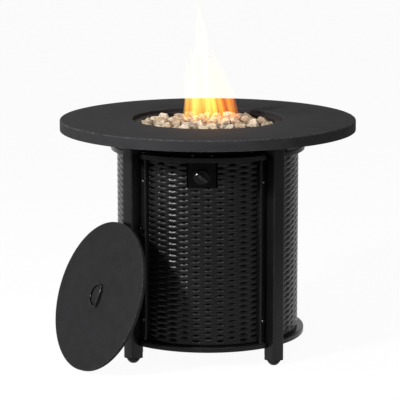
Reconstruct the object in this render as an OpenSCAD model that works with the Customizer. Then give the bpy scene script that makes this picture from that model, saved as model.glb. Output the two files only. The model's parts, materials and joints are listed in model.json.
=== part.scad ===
// Round gas fire pit table. Four square legs carry a sheet-metal top, and a drum of panels between
// the legs hides the gas cylinder. A drop-in pan in the top holds a ring burner under lava rocks,
// and the round lid that closes it leans on the left front leg.
// Millimetres. The origin is on the floor under the middle of the top, and the door faces -Y.

/* [Table top] */
// Outer diameter of the table top
top_d = 813; // [740:1:900]
// Height of the table surface above the floor
table_h = 645; // [620:1:720]
// Depth of the turned-down rim
rim_h = 30; // [22:1:40]
// Sheet thickness of the table top
top_sheet = 1.5; // [1:0.1:2.2]
// Radius on the outer edge of the top
top_edge_r = 4; // [2.5:0.5:8]
// Width of the hem that is turned in under the rim
hem_w = 10; // [5:1:20]
// Diameter of the fire opening
opening_d = 414; // [396:1:430]
// Width of the ledge round the fire opening
ledge_w = 17; // [12:1:20]
// Height of the channel ring under the top
channel_h = 29; // [22:1:36]
// Sheet thickness of the channel ring
channel_sheet = 2; // [1.5:0.5:3]
// Reach of the channel ring past the legs, inward and outward
channel_reach = 16; // [12:1:18]

/* [Drum] */
// Outer radius of the drum panels
drum_r = 250; // [244:1:260]
// Thickness of the panels over their embossing
panel_t = 3; // [2:0.5:5]
// Gap between neighbouring panels, behind a leg
panel_gap = 2; // [1:0.5:4]
// Reach of the rings past the drum
ring_reach = 17; // [14:1:24]
// Width of the upper ring inside its outer edge
upper_ring_w = 45; // [40:1:48]
// Depth of the turned-down lip of both rings
ring_lip = 14; // [8:1:20]
// Sheet thickness of both rings
ring_sheet = 2; // [1.5:0.5:3]
// Drop from the table surface to the upper ring
upper_ring_drop = 68; // [60:1:74]
// Height of the base tray above the floor
tray_z = 63; // [56:1:80]
// Inner radius of the ring that locates the gas cylinder
tank_ring_r = 108; // [100:1:125]
// Height of the cylinder's ring
tank_ring_h = 14; // [8:1:20]
// Wall of the cylinder's ring
tank_ring_wall = 2.5; // [1.5:0.5:5]
// Radius of the tray's vent holes
vent_r = 12; // [6:1:16]
// Radius of the circle of vent holes
vent_circle_r = 62; // [50:1:80]

/* [Legs] */
// Width of the square leg tube
leg_w = 38; // [34:1:42]
// Wall of the leg tube
leg_wall = 2; // [1.5:0.5:3]
// Outer corner radius of the leg tube
leg_corner_r = 3.5; // [3.2:0.1:6]
// Gap between the drum and the legs
leg_gap = 0.3; // [0.2:0.1:1]
// Play of the rings' notches round a leg
notch_play = 0.5; // [0.3:0.1:1.5]
// Height of a foot's pad
pad_h = 12.5; // [9:0.5:20]
// Radius of a foot's pad
pad_r = 17.5; // [12:0.5:18]
// Radius of the flat under a foot's pad
pad_flat_r = 9; // [7:0.5:11]
// Radius of a foot's stud
stud_r = 5; // [4:0.5:6]
// Length of a foot's stud above its pad
stud_len = 40; // [30:1:50]
// Thickness of the plug's flange under a leg
plug_flange = 3; // [2:0.5:6]
// Depth of the plug inside a leg
plug_depth = 18; // [12:1:24]

/* [Door] */
// Gap between the door and the side of a leg
door_side_gap = 3.5; // [3.4:0.1:5]
// Gap above and below the door
door_end_gap = 2.5; // [1.5:0.5:5]
// Width of a door stile
stile_w = 18; // [14:1:24]
// Depth of a door stile over the panel
stile_d = 9; // [8:1:12]
// Distance of the stile screws from the door's ends
stile_screw_inset = 58; // [40:1:72]
// Distance of the catches from the door's ends
catch_inset = 105; // [95:1:130]
// Radius of the door's pivot pins
pivot_r = 2.5; // [2:0.1:3]
// Depth of a pivot pin in its stile
pivot_in = 22; // [15:1:30]
// Height of the pull knob above the door's middle
pull_rise = 61; // [20:1:90]
// Radius of the pull knob
pull_r = 7; // [5:0.5:8.5]
// Reach of the pull knob over its stile
pull_reach = 14; // [12:1:20]

/* [Control] */
// Width of the control plate
plate_w = 74; // [64:1:84]
// Height of the control plate below the upper ring
plate_drop = 81; // [76:1:96]
// Sheet thickness of the control plate
plate_t = 2; // [1.5:0.5:3]
// Distance that the plate's face stands in front of the drum
plate_proud = 3; // [2.5:0.5:5]
// Drop from the upper ring to the knob's axis
knob_drop = 51; // [48:1:54]
// Radius of the control knob
knob_r = 20; // [17:0.5:23]
// Depth of the knob's skirt
knob_skirt = 10; // [8:1:14]
// Height of the knob's grip over the skirt
knob_grip = 12; // [8:1:16]
// Width of the knob's grip
grip_w = 9; // [7:0.5:12]
// Turn of the grip from upright when the gas is off
grip_turn = 52; // [0:1:90]
// Travel of the knob when it is pushed
push_travel = 4; // [3:0.5:5]
// Radius of the valve stem
stem_r = 4; // [3.5:0.1:4.4]
// Radius of the valve plug
plug_r = 8; // [7:0.5:10]
// Outer radius of the gas inlet
inlet_r = 7.9; // [7:0.1:9]
// Length of the gas inlet
inlet_len = 14; // [12:1:18]

/* [Burner] */
// Depth of the fire pan
pan_depth = 62; // [56:1:66]
// Sheet thickness of the fire pan
pan_sheet = 1.5; // [1:0.1:2]
// Play between the fire pan and the ledge
pan_play = 3; // [2:0.5:5]
// Radius of the ring burner's centre line
burner_r = 110; // [95:1:115]
// Outer radius of the burner tube
burner_tube_r = 9.5; // [8:0.5:10]
// Wall of the burner tube
burner_wall = 1.5; // [1:0.5:2]
// Height of the burner's centre over the pan's floor
burner_lift = 17; // [16:0.5:20]
// Outer radius of the pipe nipple under the burner
nipple_r = 10; // [9:0.5:11]
// Drop from the pan to the axis of the air mixer
mixer_drop = 19; // [18.5:0.5:22]
// Drop from the pan to the heat shield
shield_drop = 34; // [33:1:38]
// Radius of the heat shield
shield_r = 140; // [130:1:142]
// Radius of the gas pipe
pipe_r = 4; // [3:0.5:5]

/* [Lava rocks] */
// Usual distance between the middles of two rocks
rock_pitch = 40; // [36:1:46]
// Gap kept between neighbouring rocks
rock_gap = 0.3; // [0.2:0.1:0.6]
// Seed of the rocks' shapes and places
rock_seed = 11; // [1:1:99]

/* [Lid] */
// Depth of the lid's rim
lid_h = 10; // [8:1:14]
// Sheet thickness of the lid
lid_sheet = 1.5; // [1:0.1:2]
// Play between the lid and the fire opening
lid_play = 3; // [2:0.5:5]
// Lean of the lid against its leg
lid_lean = 20; // [16:0.5:26]
// Turn of the lid away from square to its leg
lid_turn = -8.5; // [-12:0.5:-4]
// Sideways place of the lid from the middle of its leg
lid_side = -29; // [-40:1:-16]
// Radius of the handle ring's wire
ring_wire_r = 2.5; // [2:0.1:3]
// Radius of the handle ring's bow
ring_bow_r = 30; // [26:1:40]
// Distance from the handle ring's bar to the lid's middle
ring_bar_x = 10; // [6:1:16]

/* [Hidden] */
$fn = 144;
// Named clearances
run_fit = 0.06;
screw_play = 0.1;
touch_gap = 0.3;
cut = 1;
part_gap = 0.5;

// Directions of the legs round the table
front_left = -135;
front_right = -45;
rear_right = 45;
rear_left = 135;
LEGS = [front_left, front_right, rear_right, rear_left];

// Table top and fire opening
top_r = top_d / 2;
opening_r = opening_d / 2;
rim_bottom_z = table_h - rim_h;
lid_r = opening_r - lid_play;
pan_rim_z = table_h - lid_h;
ledge_z = pan_rim_z - pan_sheet;
ledge_in_r = opening_r - ledge_w;
channel_z = table_h - top_sheet - channel_h;

// Drum, rings and legs
upper_ring_z = table_h - upper_ring_drop;
ring_r = drum_r + ring_reach;
upper_ring_in_r = ring_r - upper_ring_w;
panel_in_r = drum_r - panel_t;
panel_top_z = upper_ring_z - ring_sheet;
leg_in_r = drum_r + leg_gap;
leg_mid_r = leg_in_r + leg_w / 2;
leg_out_r = leg_in_r + leg_w;
leg_bottom_z = pad_h + touch_gap + plug_flange;
leg_top_z = channel_z;
channel_in_r = leg_in_r - channel_reach;
channel_out_r = leg_out_r + channel_reach;

// Screws that hold the panels to the legs
panel_screw_r = 2;
panel_screw_head_r = 3.5;
panel_screw_head_h = 2.4;
panel_screw_side = 10;
panel_screw_inset = 46;
panel_screw_zs = [tray_z + panel_screw_inset, (tray_z + panel_top_z) / 2,
    panel_top_z - panel_screw_inset];
panel_seat_r = sqrt(pow(panel_in_r, 2) - pow(panel_screw_side + panel_screw_head_r, 2));
panel_screw_grip = leg_in_r + leg_wall + 4 - panel_seat_r;

// Brackets and bolts between the legs, the channel ring and the base tray
bracket_t = 2.5;
bracket_w = 30;
bracket_leaf = 34;
bracket_bolt_r = 3;
bracket_head_r = 5;
bracket_head_h = 3.5;
bracket_bolt_len = 11;
bracket_bolt_at = 18;
upper_foot_len = channel_reach + leg_gap;
upper_bolt_r = leg_in_r - upper_foot_len + 7.5;
tray_under_z = tray_z - ring_sheet;

// Door
door_edge = leg_w / 2 + door_side_gap;
door_z = tray_z + door_end_gap;
door_top_z = upper_ring_z - ring_lip - door_end_gap;
door_mid_z = (door_z + door_top_z) / 2;
stile_fit = 0.05;
stile_r = drum_r + stile_d;
stile_mid = door_edge + stile_w / 2;
stile_screw_zs = [door_z + stile_screw_inset, door_top_z - stile_screw_inset];
stile_screw_r = 2;
stile_screw_head_r = 3.6;
stile_screw_head_h = 2.2;
catch_zs = [door_z + catch_inset, door_top_z - catch_inset];
pivot_depth = 5;
pivot_at = stile_r - pivot_depth;
pivot_over = 1;
bush_r = pivot_r + 2;
bush_flange_r = bush_r + 2;
bush_flange_h = 1.2;
pull_z = door_mid_z + pull_rise;
pull_neck_r = 4;
pull_head_h = 7;
strike_t = 1.2;
strike_h = 26;
strike_from = 2;
strike_w = 12;
catch_h = 28;
catch_depth = 12;
catch_foot_w = 15;
catch_r = panel_in_r - strike_t - touch_gap;

// Control plate, knob and valve; f counts from the table's middle towards the front
plate_f = drum_r + plate_proud;
plate_back_f = plate_f - plate_t;
plate_z = upper_ring_z - plate_drop;
plate_flange_f = upper_ring_in_r + 4;
plate_side_gap = 4.5;
plate_under_gap = 2;
plate_screw_r = 2;
plate_screw_head_r = 3.5;
plate_screw_head_h = 2.4;
plate_screw_x = 25;
plate_screw_f = (plate_flange_f + plate_back_f) / 2;
knob_z = upper_ring_z - knob_drop;
bezel_t = 1.5;
bezel_in_r = 13;
bezel_r = knob_r + 3.5;
knob_f = plate_f + bezel_t + push_travel + part_gap;
knob_top_r = knob_r - 1.5;
grip_edge_r = knob_r - 1;
socket_len = 13;
pointer_r = 1.8;
pointer_at = knob_r - 5;
pointer_len = 2.2;
pointer_proud = 0.4;
stem_hole_r = stem_r + 2;
stem_grip = 9;
valve_w = 34;
valve_h = 32;
valve_len = 36;
valve_boss_r = 10;
valve_boss_len = 8;
valve_f = plate_back_f - valve_boss_len - valve_len;
plug_back_f = valve_f + 6;
plug_len = 27;
plug_f = plug_back_f + plug_len;
inlet_f = valve_f + valve_len / 2;
passage_r = 3;
outlet_r = 7;
outlet_len = 10;
outlet_up = 5;
piezo_w = 14;
piezo_h = 24;
piezo_len = 28;
piezo_f = valve_f + 5;

// Fire pan, burner and gas train
pan_r = ledge_in_r - pan_play;
pan_in_r = pan_r - pan_sheet;
pan_flange_r = opening_r - 1.5;
pan_z = pan_rim_z - pan_depth;
pan_under_z = pan_z - pan_sheet;
burner_z = pan_z + burner_lift;
burner_top_z = burner_z + burner_tube_r;
bar_r = burner_tube_r - 1.5;
hub_r = nipple_r + 6;
hub_h = burner_lift + bar_r;
nipple_bore_r = nipple_r - 3;
nipple_in = 11;
nipple_down = 17;
locknut_r = 17;
locknut_h = 6;
mixer_z = pan_under_z - mixer_drop;
mixer_r = 11;
mixer_bore_r = 8;
mixer_len = 112;
mixer_cup_r = 13.5;
mixer_cup_h = pan_under_z - locknut_h - part_gap - (mixer_z - mixer_cup_r);
air_slot_len = 18;
air_slot_w = 9;
air_slot_at = 86;
orifice_r = 9.5;
orifice_len = 16;
orifice_f = mixer_len + orifice_len;
orifice_bore_r = 1.5;
sensor_x = 28;
sensor_f = 78;
sensor_plate_w = 80;
sensor_plate_d = 20;
sensor_plate_t = 1.5;
insulator_r = 3.9;
insulator_h = 18;
insulator_down = 9;
electrode_r = 1.2;
electrode_down = 14;
probe_r = 2.4;
probe_down = 11;
sensor_hole_play = 0.2;
wire_r = 1.5;
lead_r = 1.2;
route_end = 3;
wire_bend = 32;
wire_rise = 9;
shield_sheet = 1.2;
shield_z = pan_under_z - shield_drop;
spacer_r = 4;
spacer_at = 120;
SPACER_TURNS = [90, 210, 330];
drain_r = 4;
drain_at = 60;

// Lid: the back edge of its rim stands on the floor and leans on the outer face of its leg
lid_lean_side = -(leg_w / 2 - leg_corner_r);
lid_swing = sqrt(pow(sin(lid_turn) * sin(lid_lean), 2) + pow(cos(lid_turn), 2));
lid_touch = asin((lid_lean_side - lid_side) / lid_r / lid_swing)
    - atan2(-sin(lid_turn) * sin(lid_lean), cos(lid_turn));
lid_inward = cos(lid_turn) * sin(lid_lean) * cos(lid_touch) + sin(lid_turn) * sin(lid_touch);
lid_face_r = leg_out_r + touch_gap + lid_r * lid_inward + lid_h * cos(lid_lean) * cos(lid_turn);
lid_face_side = lid_side + lid_h * cos(lid_lean) * sin(lid_turn);
lid_face_z = lid_r * cos(lid_lean) + lid_h * sin(lid_lean);
lid_edge_r = 2;

// Handle ring and clip, in the lid's own frame
ring_corner_r = 6;
ring_lift = ring_wire_r + part_gap;
ring_bow_x = ring_bar_x - 12;
clip_half = 19;
clip_wall = 1.7;
clip_flange = 9;
clip_t = 1.2;
rivet_r = 1.2;
rivet_head_r = 2.1;
rivet_head_h = 1;
rivet_x = 6.7;
rivet_y = 13;

// Lava rocks, in a lower layer round the burner and an upper layer over it
rock_sides = 6;
rock_tilts = [-50, 0, 48];
rock_split_z = burner_top_z + touch_gap;
rock_top_z = table_h - lid_sheet - 1.5;
rock_crown = 7;
rock_wall_r = pan_in_r - rock_gap;
burner_out_r = burner_r + burner_tube_r + rock_gap;
burner_in_r = burner_r - burner_tube_r - rock_gap;
hub_clear = hub_r + rock_pitch * 0.4;
sensor_clear_x = sensor_plate_w / 2 + rock_pitch / 2 + 2;
sensor_clear_f = sensor_f - sensor_plate_d / 2 - rock_pitch / 2;

// Places

// Turns a piece to a leg: x runs outward through the leg and y to its left, seen from the middle.
module at_leg(a) {
    rotate([0, 0, a]) children();
}

// Puts a piece on the knob's axis: z runs to the front, y up.
module at_knob() {
    translate([0, 0, knob_z]) rotate([90, 0, 0]) children();
}

// Puts a piece on the leaning lid: z runs out of its face, y up the face, from the face's middle.
module at_lid() {
    at_leg(front_left) translate([lid_face_r, lid_face_side, lid_face_z])
        rotate([0, 0, lid_turn]) rotate([0, -lid_lean, 0]) rotate([90, 0, 90]) children();
}

// Repeats a piece at every panel screw of one leg, with z outward from the panel's inner side.
module at_panel_screws(a) {
    sides = a == front_left ? [-1] : a == front_right ? [1] : [-1, 1];
    at_leg(a) for (s = sides, z = panel_screw_zs)
        translate([panel_seat_r, s * panel_screw_side, z]) rotate([0, 90, 0]) children();
}

// Repeats a piece at the level bracket bolts of one leg, with z outward from the bracket's face.
module at_leg_bolts(a) {
    at_leg(a) for (z = [leg_top_z - bracket_bolt_at, tray_under_z - bracket_bolt_at])
        translate([leg_in_r - bracket_t, 0, z]) rotate([0, 90, 0]) children();
}

// Repeats a piece at the stile screws, with z outward from the stile's face.
module at_stile_screws() {
    for (z = stile_screw_zs) {
        at_leg(front_left) translate([stile_r, stile_mid, z]) rotate([0, 90, 0]) children();
        at_leg(front_right) translate([stile_r, -stile_mid, z]) rotate([0, 90, 0]) children();
    }
}

// Puts a piece on the door's pivot axis, in the middle of the right stile.
module at_pivot() {
    at_leg(front_right) translate([pivot_at, -stile_mid, 0]) children();
}

// Repeats a piece at the rivets of the lid's clip.
module at_rivets() {
    at_lid() for (x = [-rivet_x, rivet_x], y = [-rivet_y, rivet_y])
        translate([ring_bar_x + x, y, 0]) children();
}

// Common shapes

// Turned ring with a rectangular section.
module ring(r_in, r_out, h) {
    rotate_extrude() translate([r_in, 0]) square([r_out - r_in, h]);
}

// Square with round corners, centred.
module round_square(w, r) {
    square([w - 2 * r, w], center = true);
    square([w, w - 2 * r], center = true);
    for (x = [-1, 1], y = [-1, 1]) translate([x, y] * (w / 2 - r)) circle(r);
}

// Quarter bend of a sheet of thickness t, with the outer radius r.
module round_edge(r, t) {
    intersection() {
        difference() {
            circle(r);
            circle(r - t);
        }
        square(r);
    }
}

// Piece of the drum's wall from direction a, over the angle sweep.
module drum_wall(a, sweep, r_in, r_out, z, h) {
    rotate([0, 0, a]) rotate_extrude(angle = sweep, start = 0) translate([r_in, z])
        square([r_out - r_in, h]);
}

// Screw with a flat round head; its shank runs along z from the seat and the head lies below it.
module screw(shank_r, shank_len, head_r, head_h) {
    cylinder(r = shank_r, h = shank_len);
    translate([0, 0, -head_h]) cylinder(r = head_r, h = head_h);
}

// Notches of a ring for the four legs.
module leg_notches() {
    for (a = LEGS) at_leg(a) translate([leg_in_r - notch_play, -leg_w / 2 - notch_play, 0])
        cube([leg_w, leg_w + 2 * notch_play, table_h]);
}

function unit(v) = v / norm(v);

function tangent(p, i) = unit(p[min(i + 1, len(p) - 1)] - p[max(i - 1, 0)]);

// Ring of points round place i of a route that never runs along X.
function route_ring(p, i, r, sides) = let (t = tangent(p, i), u = unit(cross(t, [1, 0, 0])),
    v = cross(t, u)) [for (k = [0 : sides - 1]) let (a = 360 * k / sides)
        p[i] + r * (cos(a) * u + sin(a) * v)];

// Triangles between two neighbouring rings of points, counted from index first.
function band_faces(first, sides) = [for (k = [0 : sides - 1]) let (a = first + k,
    b = first + (k + 1) % sides) each [[a, a + sides, b + sides], [a, b + sides, b]]];

// Tube along a route of points.
module route_tube(p, r, sides) {
    n = len(p);
    points = [for (i = [0 : n - 1]) each route_ring(p, i, r, sides)];
    faces = [
        [for (k = [0 : sides - 1]) k],
        for (i = [0 : n - 2]) each band_faces(i * sides, sides),
        [for (k = [1 : sides]) n * sides - k]
    ];
    polyhedron(points, faces);
}

// Points of a smooth curve from p to q that leaves along u and arrives along v.
function curve(p, u, q, v, steps) = [for (i = [0 : steps]) let (s = i / steps, w = 1 - s)
    w * w * w * p + 3 * w * w * s * (p + u) + 3 * w * s * s * (q - v) + s * s * s * q];

// Route from p to q like a curve, with a short straight end square to what each end meets.
function route(p, u, q, v, steps) = concat([p],
    curve(p + route_end * unit(u), u, q - route_end * unit(v), v, steps), [q]);

// Route of a sensor's wire: down from p, level over the heat shield, then forward to q.
function sensor_route(p, q) = let (level = [p[0], p[1] - wire_bend, shield_z + wire_rise],
    down = [0, 0, (level[2] - p[2]) / 2], ahead = [0, -wire_bend / 2, 0],
    forward = [0, (q[1] - level[1]) / 2, 0])
    concat([p], curve(p + route_end * unit(down), down, level, ahead, 6),
        [for (c = curve(level, forward, q - route_end * unit(forward), forward, 10))
            if (c != level) c], [q]);

// Table top

module table_top() {
    e = top_edge_r;
    t = top_sheet;
    color("dimgray") rotate_extrude() union() {
        translate([opening_r, table_h - t]) square([top_r - e - opening_r, t]);
        translate([opening_r, ledge_z - t]) square([t, table_h - ledge_z + t]);
        translate([ledge_in_r, ledge_z - t]) square([ledge_w, t]);
    }
}

// Rolled rim, welded to the edge of the top.
module top_rim() {
    e = top_edge_r;
    t = top_sheet;
    color("dimgray") rotate_extrude() union() {
        translate([top_r - t, rim_bottom_z]) square([t, rim_h - e]);
        translate([top_r - e, table_h - e]) round_edge(e, t);
        translate([top_r - hem_w, rim_bottom_z]) square([hem_w, t]);
    }
}

module top_channel() {
    t = channel_sheet;
    color("gray") difference() {
        translate([0, 0, channel_z]) union() {
            ring(channel_in_r, channel_out_r, t);
            ring(channel_in_r, channel_in_r + t, channel_h);
            ring(channel_out_r - t, channel_out_r, channel_h);
        }
        for (a = LEGS) at_leg(a) translate([upper_bolt_r, 0, channel_z - cut])
            cylinder(r = bracket_bolt_r + screw_play, h = t + 2 * cut);
    }
}

// Fire pan and burner

module fire_pan() {
    color("black") difference() {
        rotate_extrude() union() {
            translate([0, pan_under_z]) square([pan_r, pan_sheet]);
            translate([pan_in_r, pan_under_z]) square([pan_sheet, pan_rim_z - pan_under_z]);
            translate([pan_in_r, ledge_z]) square([pan_flange_r - pan_in_r, pan_sheet]);
        }
        translate([0, 0, pan_under_z - cut])
            cylinder(r = nipple_r + screw_play, h = pan_sheet + 2 * cut);
        translate([sensor_x, -sensor_f, pan_under_z - cut])
            cylinder(r = insulator_r + sensor_hole_play, h = pan_sheet + 2 * cut);
        translate([-sensor_x, -sensor_f, pan_under_z - cut])
            cylinder(r = probe_r + sensor_hole_play, h = pan_sheet + 2 * cut);
        for (a = [45 : 90 : 315]) rotate([0, 0, a]) translate([drain_at, 0, pan_under_z - cut])
            cylinder(r = drain_r, h = pan_sheet + 2 * cut);
    }
}

module burner_ring() {
    in_r = burner_tube_r - burner_wall;
    color("silver") difference() {
        union() {
            translate([0, 0, burner_z]) rotate_extrude() translate([burner_r, 0])
                circle(burner_tube_r);
            translate([0, burner_r, burner_z]) rotate([90, 0, 0])
                cylinder(r = bar_r, h = 2 * burner_r);
            translate([0, 0, pan_z]) cylinder(r = hub_r, h = hub_h);
        }
        translate([0, 0, burner_z]) rotate_extrude() translate([burner_r, 0]) circle(in_r);
        translate([0, burner_r, burner_z]) rotate([90, 0, 0])
            cylinder(r = bar_r - burner_wall, h = 2 * burner_r);
        translate([0, 0, pan_z - cut]) cylinder(r = nipple_r + run_fit, h = nipple_in + cut);
        translate([0, 0, pan_z]) cylinder(r = nipple_bore_r, h = burner_lift);
    }
}

module burner_nipple() {
    h = nipple_in + pan_sheet + nipple_down;
    color("gray") translate([0, 0, pan_under_z - nipple_down]) difference() {
        cylinder(r = nipple_r, h = h);
        translate([0, 0, -cut]) cylinder(r = nipple_bore_r, h = h + 2 * cut);
    }
}

module burner_locknut() {
    color("silver") translate([0, 0, pan_under_z - locknut_h]) difference() {
        cylinder(r = locknut_r, h = locknut_h, $fn = 6);
        translate([0, 0, -cut]) cylinder(r = nipple_r + run_fit, h = locknut_h + 2 * cut);
    }
}

module air_mixer() {
    cup_z = mixer_z - mixer_cup_r;
    color("darkgray") difference() {
        union() {
            translate([0, 0, cup_z]) cylinder(r = mixer_cup_r, h = mixer_cup_h);
            translate([0, 0, mixer_z]) rotate([90, 0, 0]) cylinder(r = mixer_r, h = mixer_len);
        }
        translate([0, 0, mixer_z]) rotate([90, 0, 0])
            cylinder(r = mixer_bore_r, h = mixer_len + cut);
        translate([0, 0, pan_under_z - nipple_down])
            cylinder(r = nipple_r + run_fit, h = nipple_down + cut);
        translate([0, 0, mixer_z]) cylinder(r = nipple_bore_r, h = mixer_drop);
        translate([-mixer_r - cut, -air_slot_at - air_slot_len / 2, mixer_z - air_slot_w / 2])
            cube([2 * mixer_r + 2 * cut, air_slot_len, air_slot_w]);
    }
}

module orifice_fitting() {
    color("goldenrod") translate([0, -mixer_len, mixer_z]) rotate([90, 0, 0]) difference() {
        cylinder(r = orifice_r, h = orifice_len, $fn = 6);
        translate([0, 0, -cut]) cylinder(r = orifice_bore_r, h = orifice_len + 2 * cut);
    }
}

module gas_pipe() {
    start = [0, -(valve_f - outlet_len), knob_z + outlet_up];
    end = [0, -orifice_f, mixer_z];
    run = [0, (end[1] - start[1]) / 2, 0];
    color("goldenrod") route_tube(route(start, run, end, run, 14), pipe_r, 12);
}

module sensor_bracket() {
    color("silver") translate([0, -sensor_f, pan_z]) difference() {
        translate([-sensor_plate_w / 2, -sensor_plate_d / 2, 0])
            cube([sensor_plate_w, sensor_plate_d, sensor_plate_t]);
        translate([sensor_x, 0, -cut])
            cylinder(r = insulator_r + run_fit, h = sensor_plate_t + 2 * cut);
        translate([-sensor_x, 0, -cut])
            cylinder(r = probe_r + run_fit, h = sensor_plate_t + 2 * cut);
    }
}

module electrode_insulator() {
    h = insulator_h + insulator_down;
    color("white") translate([sensor_x, -sensor_f, pan_z - insulator_down]) difference() {
        cylinder(r = insulator_r, h = h);
        translate([0, 0, -cut]) cylinder(r = electrode_r + run_fit, h = h + 2 * cut);
    }
}

module electrode_rod() {
    color("silver") translate([sensor_x, -sensor_f, pan_z - electrode_down])
        cylinder(r = electrode_r, h = burner_lift + burner_tube_r - 2 + electrode_down);
}

module ignition_wire() {
    start = [sensor_x, -sensor_f, pan_z - electrode_down];
    end = [valve_w / 2 + piezo_w / 2, -piezo_f, knob_z];
    color("white") route_tube(sensor_route(start, end), wire_r, 8);
}

module thermocouple() {
    start = [-sensor_x, -sensor_f, pan_z - probe_down];
    end = [-valve_w / 4, -valve_f, knob_z - 4];
    color("peru") {
        translate(start) cylinder(r = probe_r, h = burner_lift + burner_tube_r - 2 + probe_down);
        route_tube(sensor_route(start, end), lead_r, 8);
    }
}

module heat_shield() {
    color("lightgray") translate([0, 0, shield_z]) cylinder(r = shield_r, h = shield_sheet);
}

module shield_spacers() {
    color("silver") for (a = SPACER_TURNS) rotate([0, 0, a])
        translate([spacer_at, 0, shield_z + shield_sheet])
            cylinder(r = spacer_r, h = shield_drop - shield_sheet);
}

// Lava rocks

// Places of n rocks round a circle, shaken a little.
function rock_circle(r, n, z, seed) = let (j = rands(-1, 1, 3 * n + 3, seed))
    [for (i = [0 : n - 1]) let (a = 360 * (i + 0.2 * j[3 * i]) / n, q = r + 4 * j[3 * i + 1])
        [q * cos(a), q * sin(a), z + 3 * j[3 * i + 2]]];

// Circles of rocks between two radii, with their middles at most one pitch apart.
function rock_field(r_from, r_to, z, seed) = let (n = max(1, floor((r_to - r_from) / rock_pitch)),
    step = (r_to - r_from) / n) [for (k = [0 : n]) let (r = r_from + k * step)
        each rock_circle(r, max(1, floor(2 * PI * r / rock_pitch)), z, seed + k)];

// Distance from c along d to the plane that parts two rocks, or far away if d leaves the other.
function rock_part(c, d, other) = let (w = other - c, l = norm(w), s = d * w / l)
    l < 0.01 || s < 0.02 ? 1e3 : (l - rock_gap) / 2 / s;

// Distance from c along d to a level plane at height z.
function level_part(c, d, z) = let (s = (z - c[2]) * d[2]) s <= 0 ? 1e3 : (z - c[2]) / d[2];

// Distance from c along d to an upright cylinder of radius r round the table's middle.
function wall_part(c, d, r) = let (a = d[0] * d[0] + d[1] * d[1], b = c[0] * d[0] + c[1] * d[1],
    q = c[0] * c[0] + c[1] * c[1] - r * r) a < 1e-6 ? 1e3 : (sqrt(b * b - a * q) - b) / a;

// Distance from c, outside the burner, along d to the upright plane that touches its outside.
function outside_part(c, d) = let (r = norm([c[0], c[1]]), s = -(c[0] * d[0] + c[1] * d[1]) / r)
    s < 0.02 ? 1e3 : (r - burner_out_r) / s;

// Distance from c, inside the burner, along d to its tube or to the plane beside its hub.
function inside_part(c, d) = let (s = -sign(c[0]) * d[0]) min(wall_part(c, d, burner_in_r),
    s < 0.02 ? 1e3 : (abs(c[0]) - hub_r - rock_gap) / s);

// Distance from c along d to the burner.
function burner_part(c, d) = norm([c[0], c[1]]) > burner_r ? outside_part(c, d) : inside_part(c, d);

// Directions from a rock's middle to its corners: the lower tip, three circles and the upper tip.
function rock_dirs(turn) = [[0, 0, -1], for (j = [0 : 2], k = [0 : rock_sides - 1])
    let (a = turn + 360 * (k + j / 2) / rock_sides, b = rock_tilts[j])
        [cos(a) * cos(b), sin(a) * cos(b), sin(b)], [0, 0, 1]];

// One rock round c that stays clear of the other rocks, the layer's planes and the walls.
module rock(c, others, z_low, z_high, lower, seed) {
    v = rands(0, 1, 24, seed);
    dirs = rock_dirs(60 * v[20]);
    reach = rock_pitch * (0.62 + 0.2 * v[21]);
    near = [for (o = others) if (norm(o - c) < 2 * rock_pitch) o];
    points = [for (i = [0 : len(dirs) - 1]) let (d = dirs[i]) c + d * min(
        reach * (0.8 + 0.4 * v[i]),
        min([for (o = near) rock_part(c, d, o)]),
        level_part(c, d, z_low),
        level_part(c, d, z_high),
        wall_part(c, d, rock_wall_r),
        lower ? burner_part(c, d) : 1e3)];
    last = 3 * rock_sides + 1;
    faces = [
        for (k = [0 : rock_sides - 1]) [0, 1 + k, 1 + (k + 1) % rock_sides],
        for (j = [0 : 1]) each band_faces(1 + j * rock_sides, rock_sides),
        for (k = [0 : rock_sides - 1])
            [last, last - rock_sides + (k + 1) % rock_sides, last - rock_sides + k]
    ];
    polyhedron(points, faces);
}

module lava_rocks_lower() {
    z_low = pan_z + rock_gap;
    z_high = rock_split_z - rock_gap;
    mid = (z_low + z_high) / 2;
    outer = rock_field(burner_out_r + rock_pitch * 0.42, rock_wall_r - rock_pitch * 0.42, mid,
        rock_seed);
    inner = [for (c = rock_field(hub_clear, burner_in_r - rock_pitch / 2, mid, rock_seed + 20))
        if (abs(c[0]) > hub_clear && (abs(c[0]) > sensor_clear_x || c[1] > -sensor_clear_f)) c];
    rocks = concat(outer, inner);
    color("tan") for (i = [0 : len(rocks) - 1])
        rock(rocks[i], rocks, z_low, z_high, true, rock_seed + 100 + i);
}

module lava_rocks_upper() {
    z_low = rock_split_z + rock_gap;
    mid = (z_low + rock_top_z - rock_crown / 2) / 2;
    rocks = rock_field(0, rock_wall_r - rock_pitch * 0.45, mid, rock_seed + 40);
    color("wheat") for (i = [0 : len(rocks) - 1]) {
        edge = norm([rocks[i][0], rocks[i][1]]) / rock_wall_r;
        rock(rocks[i], rocks, z_low, rock_top_z - rock_crown * edge * edge, false,
            rock_seed + 300 + i);
    }
}

// Rings, legs and drum

module upper_ring() {
    color("darkslategray") difference() {
        translate([0, 0, upper_ring_z - ring_lip]) union() {
            translate([0, 0, ring_lip - ring_sheet]) ring(upper_ring_in_r, ring_r, ring_sheet);
            ring(ring_r - ring_sheet, ring_r, ring_lip);
        }
        leg_notches();
        at_pivot() cylinder(r = bush_r + screw_play, h = table_h);
        for (x = [-plate_screw_x, plate_screw_x]) translate([x, -plate_screw_f, panel_top_z - cut])
            cylinder(r = plate_screw_r + screw_play, h = ring_sheet + 2 * cut);
    }
}

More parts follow.
